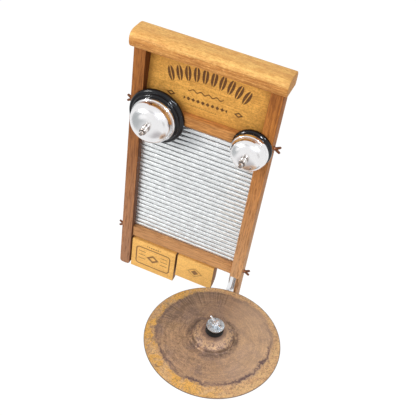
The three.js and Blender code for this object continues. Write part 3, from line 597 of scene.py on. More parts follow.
class Marks:
    """Masks for plain burned shapes on a face, in millimetres across (x) and up (z)."""

    def __init__(self, surface):
        self.s = surface
        self.x, _, self.z = surface.millimetres()

    def both(self, *masks):
        return reduce(self.s.times, masks)

    def any(self, *masks):
        return reduce(self.s.larger, masks)

    def off(self, value, centre):
        return self.s.absolute(self.s.minus(value, centre))

    def within(self, value, centre, half, soft=0.3):
        return self.s.fall(self.off(value, centre), half - soft, half + soft)

    def lozenge(self, x, z, middle, half_width, half_height):
        across = self.s.over(self.off(x, middle[0]), half_width)
        up = self.s.over(self.off(z, middle[1]), half_height)
        return self.s.fall(self.s.plus(across, up), 0.88, 1.12)

    def hollow_lozenge(self, x, z, middle, half_width, half_height, share):
        outer = self.lozenge(x, z, middle, half_width, half_height)
        inner = self.lozenge(x, z, middle, half_width * share, half_height * share)
        return self.both(outer, self.s.minus(1, inner))

    def repeated(self, value, pitch):
        """The distance from the middle of the nearest repeat."""
        share = self.s.maths("FRACT", self.s.over(value, pitch))
        return self.s.times(self.s.minus(share, 0.5), pitch)

    def leaf_arch(self, centre, radius, pitch, count, half_width, half_height):
        """Upright leaves with a pale vein, side by side along an arch."""
        s = self.s
        dx = s.minus(self.x, centre[0])
        dz = s.minus(self.z, centre[1])
        run = s.times(s.maths("ARCTAN2", dx, dz), radius)
        across = s.absolute(self.repeated(run, pitch))
        up = s.over(s.minus(s.reach(dx, dz), radius), half_height)
        room = s.larger(s.minus(1, s.times(up, up)), 0)
        edge = s.times(s.maths("SQRT", room), half_width)
        leaf = s.ramp(s.minus(edge, across), 0.0, 0.7)
        vein = s.ramp(across, 0.35, 1.0)
        return self.both(leaf, vein, self.within(run, 0, pitch * count / 2, 0.1))

    def border(self, middle, half_width, half_height, corner, line):
        """The outline of a rectangle with rounded corners."""
        s = self.s
        dx = s.minus(self.off(self.x, middle[0]), half_width - corner)
        dz = s.minus(self.off(self.z, middle[1]), half_height - corner)
        outside = s.reach(s.larger(dx, 0), s.larger(dz, 0))
        inside = s.maths("MINIMUM", s.larger(dx, dz), 0)
        return self.within(s.plus(outside, inside), corner, line)


def wood(name, base, grain, seed, contrast, foot=None, shadow=0):
    """Plain wood; it fades to foot towards the board's legs, and shadow is the sign of its dark side."""
    s = WoodSurface(name, base, grain, seed, contrast)
    if foot:
        s.blend(s.fall(s.millimetres()[2], -300, 60), 0.5, foot)
    thin = s.grained(0.07, seed * 3.1, 560, 4, 0.75)
    s.blend(s.ramp(thin, 0.5, 0.6), 0.55, warm(base, 0.38))
    s.blend(s.fall(thin, 0.34, 0.46), 0.3, shade(base, 1.45))
    if shadow:
        # painted shade on the side face that looks along x with the shadow's sign
        s.blend(s.ramp(s.times(s.facing(0), shadow), 0.5, 0.9), 0.75, warm(base, 0.25))
    return s.done()


def cap_wood(base):
    """Light open-grained wood; its lower front has coarse dark pores, and its ends are darker."""
    s = WoodSurface("cap_wood", base, 0, 3.1, 0.3, broad=30, blotch=0.2)
    x, y, z = s.millimetres()
    low = s.times(s.fall(z, 105, 111), s.fall(y, -29, -20))
    coarse = s.grained(0.07, 6.2, 400, 4, 0.8)
    s.blend(s.times(s.ramp(coarse, 0.47, 0.55), low), 0.9, (0.17, 0.05, 0.012))
    s.blend(s.times(s.fall(coarse, 0.3, 0.42), low), 0.5, shade(base, 1.2))
    s.blend(low, 0.68, (0.52, 0.205, 0.045))
    few = s.grained(0.3, 1.2, 620, 4, 0.8)
    s.blend(s.ramp(few, 0.5, 0.6), 0.5, (0.56, 0.21, 0.045))
    s.blend(s.fall(few, 0.36, 0.46), 0.35, (1.25, 0.71, 0.25))
    s.blend(s.ramp(s.grained(0.3, 5.2, 60, 3, 0.6), 0.5, 0.7), 0.08, warm(base, 0.55))
    s.blend(s.ramp(x, 98, 114), 0.3, warm(base, 0.55))
    return s.done()


def panel_wood(base):
    """Mottled golden oak with plain burned marks, darker towards the frame from burned edges and painted
    shade, and with a painted shadow along the left stile.
    """
    s = WoodSurface("panel_wood", base, 0, 7.7, 0.2, broad=40, blotch=0.35)
    x, _, z = s.millimetres()
    mottle = s.grained(0.6, 2.9, 560, 5, 0.8)
    s.blend(s.ramp(mottle, 0.46, 0.6), 0.5, warm(base, 0.42))
    s.blend(s.fall(mottle, 0.34, 0.45), 0.3, shade(base, 1.3))
    # painted shadow of the left stile along the panel's left edge
    s.blend(s.fall(x, -92, -84), 0.25, warm(base, 0.4))
    s.blend(s.ramp(s.grained(0.6, 8.1, 45, 3, 0.6), 0.45, 0.65), 0.22, warm(base, 0.55))
    # darker near the frame all round: partly burned edges, partly painted shade
    ends = s.larger(s.ramp(z, 76, 92), s.fall(z, 8, 20))
    s.blend(s.larger(s.ramp(s.absolute(x), 76, 93), ends), 0.42, warm(base, 0.5))
    m = Marks(s)
    arch = m.leaf_arch((0, -86), 156, 13, 10, 5.2, 11.5)
    row_x = m.repeated(m.x, 7.4)
    row = m.both(m.lozenge(row_x, m.z, (0, 30), 3.0, 3.0), m.within(m.x, 0, 33.3, 0.1))
    wave = s.maths("SINE", s.over(m.x, 1.9))
    wave_level = s.minus(m.z, s.times(wave, 1.5))
    thin = m.both(m.within(wave_level, 43.5, 0.9), m.within(m.x, -1.5, 27))
    dots = m.both(m.within(m.repeated(m.x, 3.1), 0, 0.8), m.within(m.z, 20.5, 0.8), m.within(m.x, -2, 20))
    sides = m.any(*(m.hollow_lozenge(m.x, m.z, (side, 30.5), 7, 4, 0.45) for side in (-53, 50.5)))
    s.burn(m.any(arch, m.any(row, thin, sides), s.times(dots, 0.75)), 0.95, colours().burn)
    return s.done()


def block_wood(base, seed, side):
    """Yellow close-grained wood with plain burned marks; the ends are darker."""
    s = WoodSurface(side + "_block_wood", base, 0, seed, 0.16, broad=50, blotch=0.3)
    spots = s.grained(0.7, seed, 520, 5, 0.8)
    s.blend(s.ramp(spots, 0.47, 0.62), 0.42, warm(base, 0.45))
    s.blend(s.fall(spots, 0.35, 0.45), 0.3, shade(base, 1.3))
    m = Marks(s)
    light_burn = warm(colours().burn, 2.2)
    middle, _, top, _ = BLOCKS[side]
    if side == "left":
        middle = (middle, top - 33)
        frame_line = m.border(middle, 31.5, 20, 6, 1.1)
        heart = m.hollow_lozenge(m.x, m.z, middle, 12, 9, 0.5)
        bars = m.both(m.within(m.repeated(m.z, 8.5), 0, 0.7), m.within(m.z, middle[1], 13, 0.2))
        wings = m.any(*(m.within(m.x, middle[0] + way * 20.5, 6.5) for way in (-1, 1)))
        crest = m.both(m.within(m.repeated(m.x, 4.2), 0, 1.2), m.within(m.z, middle[1] + 26, 1.3),
                       m.within(m.x, middle[0], 12.6, 0.1))
        s.burn(m.any(frame_line, heart, m.both(bars, wings), crest), 0.9, light_burn)
    else:
        middle = (middle + 1, top - 26)
        outer = m.hollow_lozenge(m.x, m.z, middle, 14, 10, 0.8)
        s.burn(m.any(s.times(outer, 0.7), m.lozenge(m.x, m.z, middle, 7, 6)), 0.9, light_burn)
    return s.done(0.3)


def polished(name, tint=(0.82, 0.81, 0.815), rough=0.09, haze=None):
    """Bright plating; haze is a band of levels over the board's front that is duller than the rest."""
    s = Surface(name, base_color=tint, metallic=1.0)
    dull = s.ramp(s.noise(s.place(), 90, 4, 0.6), 0.35, 0.75, rough, rough + 0.08)
    if haze:
        low, high = haze
        level = s.board_level()
        band = s.band(level, low, low + 0.6, high, high + 1.5)
        above = s.ramp(level, high + 2, high + 8, 0, 0.1)
        dull = s.plus(dull, s.plus(s.times(band, 0.3), above))
    return s.finish(roughness=dull)


def nickel_with_painted_rings(name, levels):
    """Nickel of a bell's nut and plunger, with painted brown reflection and shade near the levels, given as
    (level, half width).
    """
    s = Surface(name, metallic=1.0)
    here = s.board_level()
    spans = [(s.absolute(s.minus(here, level)), half) for level, half in levels]
    # painted brown reflection and shade in rings round the steps
    brown = reduce(s.larger, [s.fall(off, half / 2, half) for off, half in spans])
    cloud = s.noise(s.place(), 420, 4, 0.7)
    tone = s.mix(s.ramp(cloud, 0.3, 0.7), (0.66, 0.61, 0.57), (0.88, 0.86, 0.83))
    tone = s.tinted(tone, brown, 0.7, (0.09, 0.045, 0.025))
    return s.finish(tone, s.ramp(cloud, 0.3, 0.7, 0.1, 0.25))


def plated(name, tint, rough):
    """Duller, cloudy metal of screws, springs and washers."""
    s = Surface(name, metallic=1.0)
    cloud = s.noise(s.place(), 350, 5, 0.65)
    tone = s.mix(cloud, shade(tint, 0.7), shade(tint, 1.2))
    return s.finish(tone, s.ramp(cloud, 0.3, 0.7, rough, rough + 0.2))


def enamel():
    """Glossy black of the bells' bases."""
    s = Surface("bell_enamel", base_color=(0.003, 0.003, 0.005), specular_ior_level=0.36)
    dust = s.noise(s.place(), 60, 3, 0.6)
    return s.finish(roughness=s.ramp(dust, 0.35, 0.75, 0.12, 0.18))


def felt(name):
    """Dull black fibre or rubber."""
    s = Surface(name, sheen_weight=0.1, specular_ior_level=0.1)
    fibre = s.noise(s.place(), 1800, 3, 0.7)
    tone = s.mix(fibre, (0.003, 0.003, 0.003), (0.016, 0.015, 0.014))
    return s.finish(tone, 0.95, s.bump(fibre, 0.25 * MM))


def zinc(tint):
    """The rub sheet: bright ribs, dark valleys of painted shade, slanted brushing and the left bell's
    painted shadow and reflection.
    """
    s = Surface("sheet_zinc", metallic=0.75)
    where = s.place()
    x, _, z = s.millimetres()
    across = s.maths("FRACT", s.over(s.minus(z, SHEET_FOOT), RIB_PITCH))
    valley = s.absolute(s.minus(across, 0.5))
    speck = s.noise(where, 600, 4, 0.7)
    # painted shade in each rib's valley
    dark = s.ramp(s.plus(valley, s.times(speck, 0.05)), 0.39, 0.51)
    brushed = s.noise(s.place((0.25, 1, 1), turned=(0, math.radians(35), 0)), 420, 4, 0.7)
    cloud = s.noise(s.place((0.4, 1, 1)), 60, 3, 0.6)
    bright = s.mix(s.ramp(brushed, 0.3, 0.7), shade(tint, 0.86), shade(tint, 1.1))
    bright = s.tinted(bright, s.ramp(cloud, 0.45, 0.75), 0.22, shade(tint, 0.6))
    # painted shadow and reflection of the left bell on the sheet's front
    painted_bell_shade = s.fall(s.reach(s.plus(x, 28), s.plus(z, 30)), 14, 42)
    painted_bell_shade = s.times(painted_bell_shade, s.fall(s.facing(1), -0.1, 0.1))
    bright = s.tinted(bright, painted_bell_shade, 0.45, (0.30, 0.31, 0.33))
    tone = s.mix(s.times(dark, 0.9), bright, (0.05, 0.06, 0.058))
    rough = s.ramp(brushed, 0.25, 0.75, 0.16, 0.32)
    return s.finish(tone, rough, s.bump(brushed, 0.08 * MM))


def patina(body, grey, bright):
    """The cymbal: lathe-ringed golden brown with grey clouds, dark streaks and an uneven golden rim."""
    s = Surface("cymbal_patina", metallic=0.45)
    where = s.place(move=tuple(-CYMBAL_CENTRE))
    x, y, _ = s.millimetres(-CYMBAL_CENTRE)
    radius = s.reach(x, y)
    unit_x = s.over(x, s.plus(radius, 1))
    unit_y = s.over(y, s.plus(radius, 1))
    burnt = (0.12, 0.069, 0.040)
    stain = colours().stain

    def lean(along_x, along_y):
        return s.plus(s.times(unit_x, along_x), s.times(unit_y, along_y))

    def moved(x, y, *values):
        return s.noise(s.place(move=(x, y, 0)), *values)

    smeared = s.join(s.times(unit_x, 8), s.times(unit_y, 8), radius)
    rings = s.noise(smeared, 0.3, 4, 0.7)
    fine_rings = s.noise(s.join(0, 0, radius), 1.3, 2, 0.6)
    cloud = s.noise(where, 30, 5, 0.65, 0.6)
    mottling = s.noise(where, 170, 5, 0.7, 0.4)
    pale = moved(0.31, 0.17, 38, 5, 0.7, 0.8)
    s.tone = s.mix(s.times(s.ramp(cloud, 0.42, 0.62), 0.8), body, grey)
    s.blend(s.ramp(pale, 0.48, 0.66), 0.35, shade(bright, 0.7))
    s.blend(s.ramp(rings, 0.44, 0.57), 0.38, shade(grey, 0.5))
    s.blend(s.fall(rings, 0.38, 0.49), 0.3, warm(body, 1.35))
    s.blend(s.ramp(mottling, 0.5, 0.66), 0.4, shade(grey, 0.5))
    blots = s.ramp(moved(0.9, 0.4, 75, 6, 0.75, 0.5), 0.52, 0.64)
    s.blend(blots, 0.5, burnt)
    s.blend(s.ramp(moved(0.4, 0.8, 55, 5, 0.7, 0.7), 0.52, 0.64), 0.4, warm(bright, 0.7))
    grit = s.noise(where, 620, 4, 0.8)
    s.blend(s.ramp(grit, 0.5, 0.6), 0.5, shade(grey, 0.4))
    s.blend(s.fall(grit, 0.37, 0.48), 0.45, shade(body, 1.5))
    s.blend(s.ramp(moved(0.2, 0.6, 240, 5, 0.8), 0.54, 0.64), 0.5, warm(bright, 0.75))
    # painted light and shade by side: darker towards the board, warmer and lighter on the right, greyer in
    # front
    s.blend(s.ramp(lean(-0.5, 1), -0.4, 1.1), 0.42, shade(grey, 0.7))
    s.blend(s.ramp(lean(1, 0.3), -0.2, 1.0), 0.4, (0.70, 0.46, 0.29))
    s.blend(s.fall(unit_y, -1, 0), 0.25, shade(grey, 1.1))
    patches = s.ramp(moved(0.52, 0.11, 48, 5, 0.75, 0.6), 0.5, 0.62)
    left_side = s.ramp(unit_x, -0.9, 0.3, 1, 0.25)
    s.blend(s.times(patches, left_side), 0.6, shade(burnt, 1.5))
    # radial streaks on the side towards the board
    window = s.times(s.ramp(lean(-0.77, 0.64), 0.45, 0.9), s.ramp(radius, 50, 75))
    rays = s.ramp(s.noise(s.join(s.times(unit_x, 3), s.times(unit_y, 3), 0), 14, 3, 0.6), 0.45, 0.6)
    s.blend(s.times(rays, window), 0.7, burnt)
    # cup: dark round the felt and at its foot, pale between them
    s.blend(s.fall(s.plus(radius, s.times(mottling, 9)), 21, 25), 0.55, stain)
    slope = s.times(s.band(radius, 22, 25, 28, 31), s.ramp(mottling, 0.42, 0.56, 1, 0.1))
    s.blend(slope, 0.4, shade(bright, 0.8))
    pits = s.ramp(s.noise(where, 300, 4, 0.75), 0.48, 0.58)
    s.blend(s.times(s.band(radius, 20, 24, 34, 44), pits), 0.75, stain)
    foot = s.ramp(s.noise(where, 60, 4, 0.7), 0.42, 0.6)
    s.blend(s.times(s.band(radius, 28, 31, 32, 43), foot), 0.75, burnt)
    # golden rim with a dark stain along its inner side
    turn_noise = s.noise(s.join(s.times(unit_x, 0.06), s.times(unit_y, 0.06), 0), 26, 2, 0.5)
    uneven = s.times(s.minus(s.plus(turn_noise, mottling), 1), 18)
    level = s.minus(s.plus(radius, uneven), lean(1.5, 5))
    golden = s.mix(s.ramp(mottling, 0.42, 0.62), bright, shade(body, 1.1))
    warm_side = s.ramp(lean(-0.9, -0.45), -0.4, 0.5)
    golden = s.tinted(golden, s.ramp(pale, 0.42, 0.58), warm_side, colours().rim_glow)
    golden = s.tinted(golden, s.ramp(s.noise(where, 330, 4, 0.75), 0.53, 0.62), 0.7, shade(grey, 0.55))
    golden = s.tinted(golden, blots, 0.45, shade(grey, 0.7))
    flecks = s.noise(where, 420, 5, 0.85)
    golden = s.tinted(golden, s.ramp(flecks, 0.49, 0.6), 0.55, warm(bright, 0.35))
    golden = s.tinted(golden, s.fall(flecks, 0.36, 0.46), 0.4, shade(bright, 1.3))
    s.blend(s.ramp(level, 85, 90), 0.88, golden)
    line = s.band(level, 80, 84.5, 84.5, 87)
    line = s.times(line, s.ramp(s.noise(where, 22, 3, 0.6), 0.36, 0.58, 0.3, 0.95))
    line = s.times(line, s.ramp(lean(0.5, -0.86), -0.6, 0.4, 0.35, 1.0))
    s.blend(line, 1, stain)
    s.blend(s.ramp(radius, 100.2, 101.2), 1, shade(grey, 0.5))
    rough = s.ramp(cloud, 0.3, 0.7, 0.42, 0.6)
    height = s.plus(fine_rings, s.times(mottling, 0.8))
    return s.finish(s.tone, rough, s.bump(height, 0.15 * MM))


# Operators


class PieceOperator:
    """What all the operators share; each has a make method of its own."""

    bl_options = {"REGISTER", "UNDO"}

    def execute(self, context):
        self.make()
        return {"FINISHED"}


class WASHBOARD_OT_wood(PieceOperator, bpy.types.Operator):
    """Grained wood of the frame: cap rail, panel, stiles and rails"""

    bl_idname = "washboard.wood"
    bl_label = "Wooden frame"

    def make(self):
        c = colours()
        self.make_cap(cap_wood(c.cap))
        repaint("head_panel", panel_wood(c.panel))
        for node, *values in (
            ("left_stile", c.left_stile, 2, 1.3, 0.5, (0.55, 0.30, 0.18), 1),
            ("right_stile", c.right_stile, 2, 5.2, 0.55, (0.95, 0.58, 0.30)),
            ("middle_rail", c.rail, 0, 2.4, 0.5),
            ("lower_rail", c.rail, 0, 8.9, 0.5, (0.62, 0.34, 0.17)),
        ):
            material = wood(node + "_wood", *values)
            dress(softened(node, 0.5), "board", node.split("_")[1] + "_wood", material, node)
        dowel = wood("dowel_wood", shade(c.block, 0.8), 2, 9.3, 0.4)
        for side in ("left", "right"):
            repaint(side + "_cap_dowel", dowel)

    def make_cap(self, material):
        """The rail's rounded section: each corner is a curve through shares of its depth and height."""
        foot = Vector((CAP_BACK, CAP_BOTTOM))
        size = Vector((CAP_DEPTH, CAP_HEIGHT))
        corners = [
            ((0.79, 0), (1, 0), (1, 0.5)),
            ((1, 0.5), (1, 1), (0.63, 1)),
            ((0.32, 1), (0, 1), (0, 0.5)),
            ((0, 0.16), (0, 0), (0.08, 0)),
        ]
        outline = []
        for corner in corners:
            points = [foot + Vector(share) * size for share in corner]
            outline += [points[0], *bezier(points, 14)]
        outline = [point for i, point in enumerate(outline) if i == 0 or point != outline[i - 1]]
        piece = prism("cap_rail_smooth", outline, -CAP_REACH, CAP_REACH)
        ease_edges(1.6, 4)
        smooth(30)
        dress(piece, "board", "cap_oak", material, "cap_rail")


class WASHBOARD_OT_blocks(PieceOperator, bpy.types.Operator):
    """Slotted wood blocks"""

    bl_idname = "washboard.blocks"
    bl_label = "Wood blocks"

    def make(self):
        for side, seed in (("left", 4.4), ("right", 6.1)):
            middle, width, top, height = BLOCKS[side]
            low = top - height
            half = width / 2
            edge = BLOCK_EDGE
            front = BLOCK_FRONT - edge
            outline = arc(front, low + edge, edge, -90, 0, 5) + arc(front, top - edge, edge, 0, 90, 5)
            outline += arc(BLOCK_BACK + edge, top - edge, edge, 90, 180, 5)
            outline += arc(BLOCK_BACK + BLOCK_FOOT, low + BLOCK_FOOT, BLOCK_FOOT, 180, 270, 16)
            piece = prism(side + "_block_smooth", outline, middle - half, middle + half)
            self.cut_slot(piece, middle, half - SLOT_WALL, low - SLOT_OVERCUT, top - SLOT_ROOF)
            ease_edges(0.9)
            smooth(30)
            material = block_wood(colours().block, seed, side)
            dress(piece, "board", "block_wood", material, side + "_wood_block")

    def cut_slot(self, piece, middle, half, low, top):
        bpy.ops.mesh.primitive_cube_add(size=1)
        cutter = bpy.context.object
        cutter.scale = Vector((2 * half, SLOT_WIDTH, top - low)) * MM
        cutter.location = Vector((middle, -SLOT_DEPTH, (top + low) / 2)) * MM
        apply_place()
        select_only(piece)
        use_modifier("BOOLEAN", object=cutter, operation="DIFFERENCE", solver="EXACT")
        bpy.data.objects.remove(cutter)


class WASHBOARD_OT_bells(PieceOperator, bpy.types.Operator):
    """Turned bases, domes, nuts and plungers of both call bells"""

    bl_idname = "washboard.bells"
    bl_label = "Call bells"

    def make(self):
        chrome = polished("bell_chrome", rough=0.08, haze=(16.6, 20))
        black = enamel()
        for side, bell in BELLS.items():
            foot = bell["axis"] + OUT * BOARD_FACE
            self.make_base(side, bell["base"], foot, black)
            crown = self.make_dome(side, bell, foot, chrome)
            neck = crown + NECK_RISE
            tip = crown + bell["button"]
            # levels of the painted brown rings of reflection and shade on the nut and plunger
            brown = ((crown + 1.6, 1.2), (neck + 1.4, 1.5), (tip - 0.4, 1.0))
            nickel = nickel_with_painted_rings(side + "_nut_nickel", brown)
            self.make_nut(side, foot + OUT * (crown * MM), nickel)
            self.make_plunger(side, bell["base"][3] + 7.3, neck, tip, foot, nickel)

    def make_base(self, side, measures, foot, black):
        """The flange and the rounded step on it."""
        flange, rim, step, deck = measures
        edge = rim - 2.6
        profile = [(0, 0.3), (flange - 0.8, 0.3), (flange, 1.1)]
        profile += arc(flange - edge, rim - edge, edge, 0, 90, 10)
        edge = deck - rim - 0.6
        profile += [(step + 0.5, rim), (step, rim + 0.4)]
        profile += arc(step - edge, deck - edge, edge, 0, 90, 10) + [(0, deck)]
        piece = turn(side + "_base_turned", profile, foot, OUT)
        dress(piece, "board", "black_base", black, side + "_bell_base")

    def make_dome(self, side, bell, foot, chrome):
        """The hollow dome with its rolled lip; returns its crown's level."""
        lip, radius, skirt, height, fullness = bell["dome"]
        low = bell["base"][3] + 0.4
        shoulder = low + skirt
        crown = shoulder + height
        edge = low + bell["rim_height"]
        flare = [(lip - 0.5, edge + 0.25), (radius + 0.05, edge + 0.35), (radius, edge + 1)]
        outer = dome_arc(radius, height, shoulder, DOME_FLAT, 44, fullness)
        inner = dome_arc(radius - DOME_WALL, height - DOME_WALL, shoulder, DOME_FLAT, 30, fullness)
        profile = [(lip - DOME_WALL, low), (lip - 0.3, low), (lip, low + 0.3)]
        profile += arc(lip - 0.6, edge - 0.35, 0.6, 0, 80, 6)
        profile += bezier([Vector(point) for point in flare], 6)
        profile += [point for point in outer if point[1] > edge + 1.2]
        profile += [(DOME_HOLE, crown), (DOME_HOLE, crown - DOME_WALL)]
        profile += [*reversed(inner), profile[0]]
        piece = turn(side + "_dome_turned", profile, foot, OUT)
        dress(piece, "board", "bell_chrome", chrome, side + "_bell_dome")
        return crown

    def make_nut(self, side, crown, nickel):
        """The tall round nut; its heights start at the dome's crown."""
        profile = [(DOME_HOLE, 0.3), (5.6, 0.3), (5.6, 1.2), (5.0, 1.5), (5.0, 2.1), (5.2, 2.4)]
        profile += arc(4.1, 10.4, 1.1, 0, 90, 6)
        profile += [(3.2, 11.5), (3.2, 10.6), (DOME_HOLE, 10.6), profile[0]]
        piece = turn(side + "_nut_turned", profile, crown, OUT, 30, 64)
        dress(piece, "board", "bell_chrome", nickel, side + "_bell_dome_nut")

    def make_plunger(self, side, low, neck, tip, foot, nickel):
        """The rod from its low end, the collar under the neck and the button over it."""
        profile = [(0, low), (0.9, low + 0.45), (1.8, low + 1.8), (1.8, neck - 6.3), (2.9, neck - 6.3)]
        profile += [(2.9, neck - 1.3), (3.5, neck - 1.3), (3.5, neck), (2.9, neck), (2.9, neck + 2.4)]
        profile += [(2.55, neck + 2.6), (2.55, neck + 3.2), (2.9, neck + 3.4)]
        profile += arc(1.9, tip - 1.0, 1.0, 0, 90, 6) + [(0, tip)]
        piece = turn(side + "_plunger_turned", profile, foot, OUT, 30, 48)
        dress(piece, side + "_plunger", "bell_chrome", nickel, side + "_bell_plunger")


class WASHBOARD_OT_sheet(PieceOperator, bpy.types.Operator):
    """Ribbed zinc rub sheet: one rib, repeated and given its thickness"""

    bl_idname = "washboard.sheet"
    bl_label = "Rub sheet"

    def make(self):
        points = []
        for i in range(RIB_STEPS + 1):
            share = i / RIB_STEPS
            rise = RIB_HEIGHT * (0.5 - abs(2 * share - 1) ** RIB_FULLNESS)
            height = SHEET_FOOT + RIB_PITCH * share
            points.append(Vector((-SHEET_HALF_WIDTH, -SHEET_DEPTH - rise, height)) * MM)
        piece = draw_line("rub_sheet_ribs", points)
        pick_all()
        for _ in range(SHEET_STRIPS):
            extrude(Vector((2 * SHEET_HALF_WIDTH / SHEET_STRIPS * MM, 0, 0)))
        tidy_mesh()
        use_modifier(
            "ARRAY", count=sizes().rib_count, use_relative_offset=False, use_constant_offset=True,
            constant_offset_displace=(0, 0, RIB_PITCH * MM), use_merge_vertices=True,
            merge_threshold=0.01 * MM,
        )
        use_modifier("SOLIDIFY", thickness=SHEET_THICKNESS * MM, offset=0)
        bpy.ops.object.mode_set(mode="EDIT")
        tidy_mesh()
        smooth(50)
        dress(piece, "board", "zinc_sheet", zinc(colours().sheet), "rub_sheet")


class WASHBOARD_OT_cymbal(PieceOperator, bpy.types.Operator):
    """Cymbal, its felts, washers and nuts"""

    bl_idname = "washboard.cymbal"
    bl_label = "Cymbal"

    def make(self):
        c = colours()
        top = self.bow()
        under = [(radius, height - CYMBAL_THICKNESS) for radius, height in reversed(top[1:])]
        under += [(CYMBAL_RADIUS - 0.4, -CYMBAL_THICKNESS), (CYMBAL_RADIUS, -0.6), top[0]]
        piece = turn("cymbal_turned", top + under, CYMBAL_CENTRE, CYMBAL_AXIS, 40, 144)
        material = patina(c.patina, c.cloud, c.rim)
        dress(piece, "cymbal", "cymbal_bronze", material, "cymbal")
        black = felt("black_felt")
        chrome = polished("stack_chrome", (0.80, 0.80, 0.81), 0.12)
        for node, width in (("cymbal_upper_felt", 0.8), ("cymbal_lower_felt", 0.6)):
            dress(softened(node, width, 3), body_name(node), "black_felt", black, node)
        washer = plated("washer_steel", (0.56, 0.61, 0.65), 0.2)
        for node, width, material in (
            ("cymbal_post", 0.3, chrome),
            ("cymbal_top_washer", 0.3, washer),
            ("cymbal_wing_nut", 0.35, chrome),
        ):
            dress(softened(node, width, 3), body_name(node), "arm_chrome", material, node)

    def bow(self):
        """The top face from the rim up over the bow and the cup to the hole, with a soft foot at the cup."""
        bow = []
        for i in range(49):
            share = i / 48
            rise = BOW_RISE * (share + 0.125 * math.sin(math.pi * share))
            bow.append((CYMBAL_RADIUS + (CUP_RADIUS - CYMBAL_RADIUS) * share, rise))
        cup = dome_arc(CUP_RADIUS, CUP_RISE, BOW_RISE, 13.6, 18)
        foot = [Vector((34.6, 6.85)), Vector((32.2, 7.1)), Vector((31.5, cup[3][1]))]
        outer = [point for point in bow if point[0] > 35]
        rest = [point for point in cup if point[0] < 31.4]
        return [*outer, foot[0], *bezier(foot, 8), *rest, (CYMBAL_HOLE, BOW_RISE + CUP_RISE)]


class WASHBOARD_OT_arm(PieceOperator, bpy.types.Operator):
    """Bent chrome tube that carries the cymbal"""

    bl_idname = "washboard.arm"
    bl_label = "Cymbal arm"

    def make(self):
        bend = ARM_BEND
        near = Vector((ARM_ACROSS, -ARM_DEPTH, 0))
        far = Vector((CYMBAL_CENTRE.x / MM, -POST_DEPTH, 0))
        low = Vector((0, 0, ARM_LOW))
        up = Vector((0, 0, bend))
        path = [near + Vector((0, 0, ARM_TOP)), near + low + up]
        path += bezier([path[-1], near + low, near + low + OUT * bend], 12)
        reach = OUT * ((POST_DEPTH - ARM_DEPTH - 2 * bend) / 3)
        rise = far + low - OUT * bend
        path += bezier([path[-1], path[-1] + reach, rise - reach, rise], 16)
        path += bezier([rise, far + low, far + low + up], 12)
        path.append(far + Vector((0, 0, ARM_END)))
        piece = draw_line("arm_tube", [point * MM for point in path])
        bpy.ops.object.mode_set(mode="OBJECT")
        bpy.ops.object.convert(target="CURVE")
        piece.data.bevel_depth = ARM_RADIUS * MM
        piece.data.bevel_resolution = 10
        piece.data.use_fill_caps = True
        bpy.ops.object.convert(target="MESH")
        bpy.ops.object.mode_set(mode="EDIT")
        tidy_mesh()
        smooth(40)
        tube = polished("arm_chrome", (0.80, 0.80, 0.81), 0.07)
        dress(piece, "board", "arm_chrome", tube, "cymbal_arm")


class WASHBOARD_OT_fittings(PieceOperator, bpy.types.Operator):
    """Wing screws, and the plain small metal and rubber"""

    bl_idname = "washboard.fittings"
    bl_label = "Fittings"

    def make(self):
        steel = plated("small_steel", (0.55, 0.56, 0.57), 0.25)
        brass = plated("aged_brass", colours().brass, 0.3)
        rubber = felt("spacer_rubber")
        small = ("screw", "insert", "striker", "post", "lock_nut", "lower_washer", "pin")
        for side in BELLS:
            self.make_spring(side, steel)
        for node in frame["nodes"]:
            if node.endswith("wing_screw"):
                dress(softened(node, 0.4, 3), body_name(node), "aged_brass", brass, node)
            elif "spacer" in node:
                repaint(node, rubber)
            elif any(word in node for word in small) and node != "cymbal_post":
                repaint(node, steel)

    def make_spring(self, side, steel):
        """A smoothed copy of the return spring, which on the real bell shortens by the plunger's travel when
        struck.
        """
        node = side + "_bell_spring"
        piece = merged(node, side + "_spring_coil")
        tidy_mesh()
        smooth()
        dress(piece, "board", "steel_parts", steel, node)
        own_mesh(piece)


def aimed(place, height):
    """The turn that points something at the board's middle at the given height."""
    return (Vector((0, 0, height)) - place).to_track_quat("-Z", "Y").to_euler()


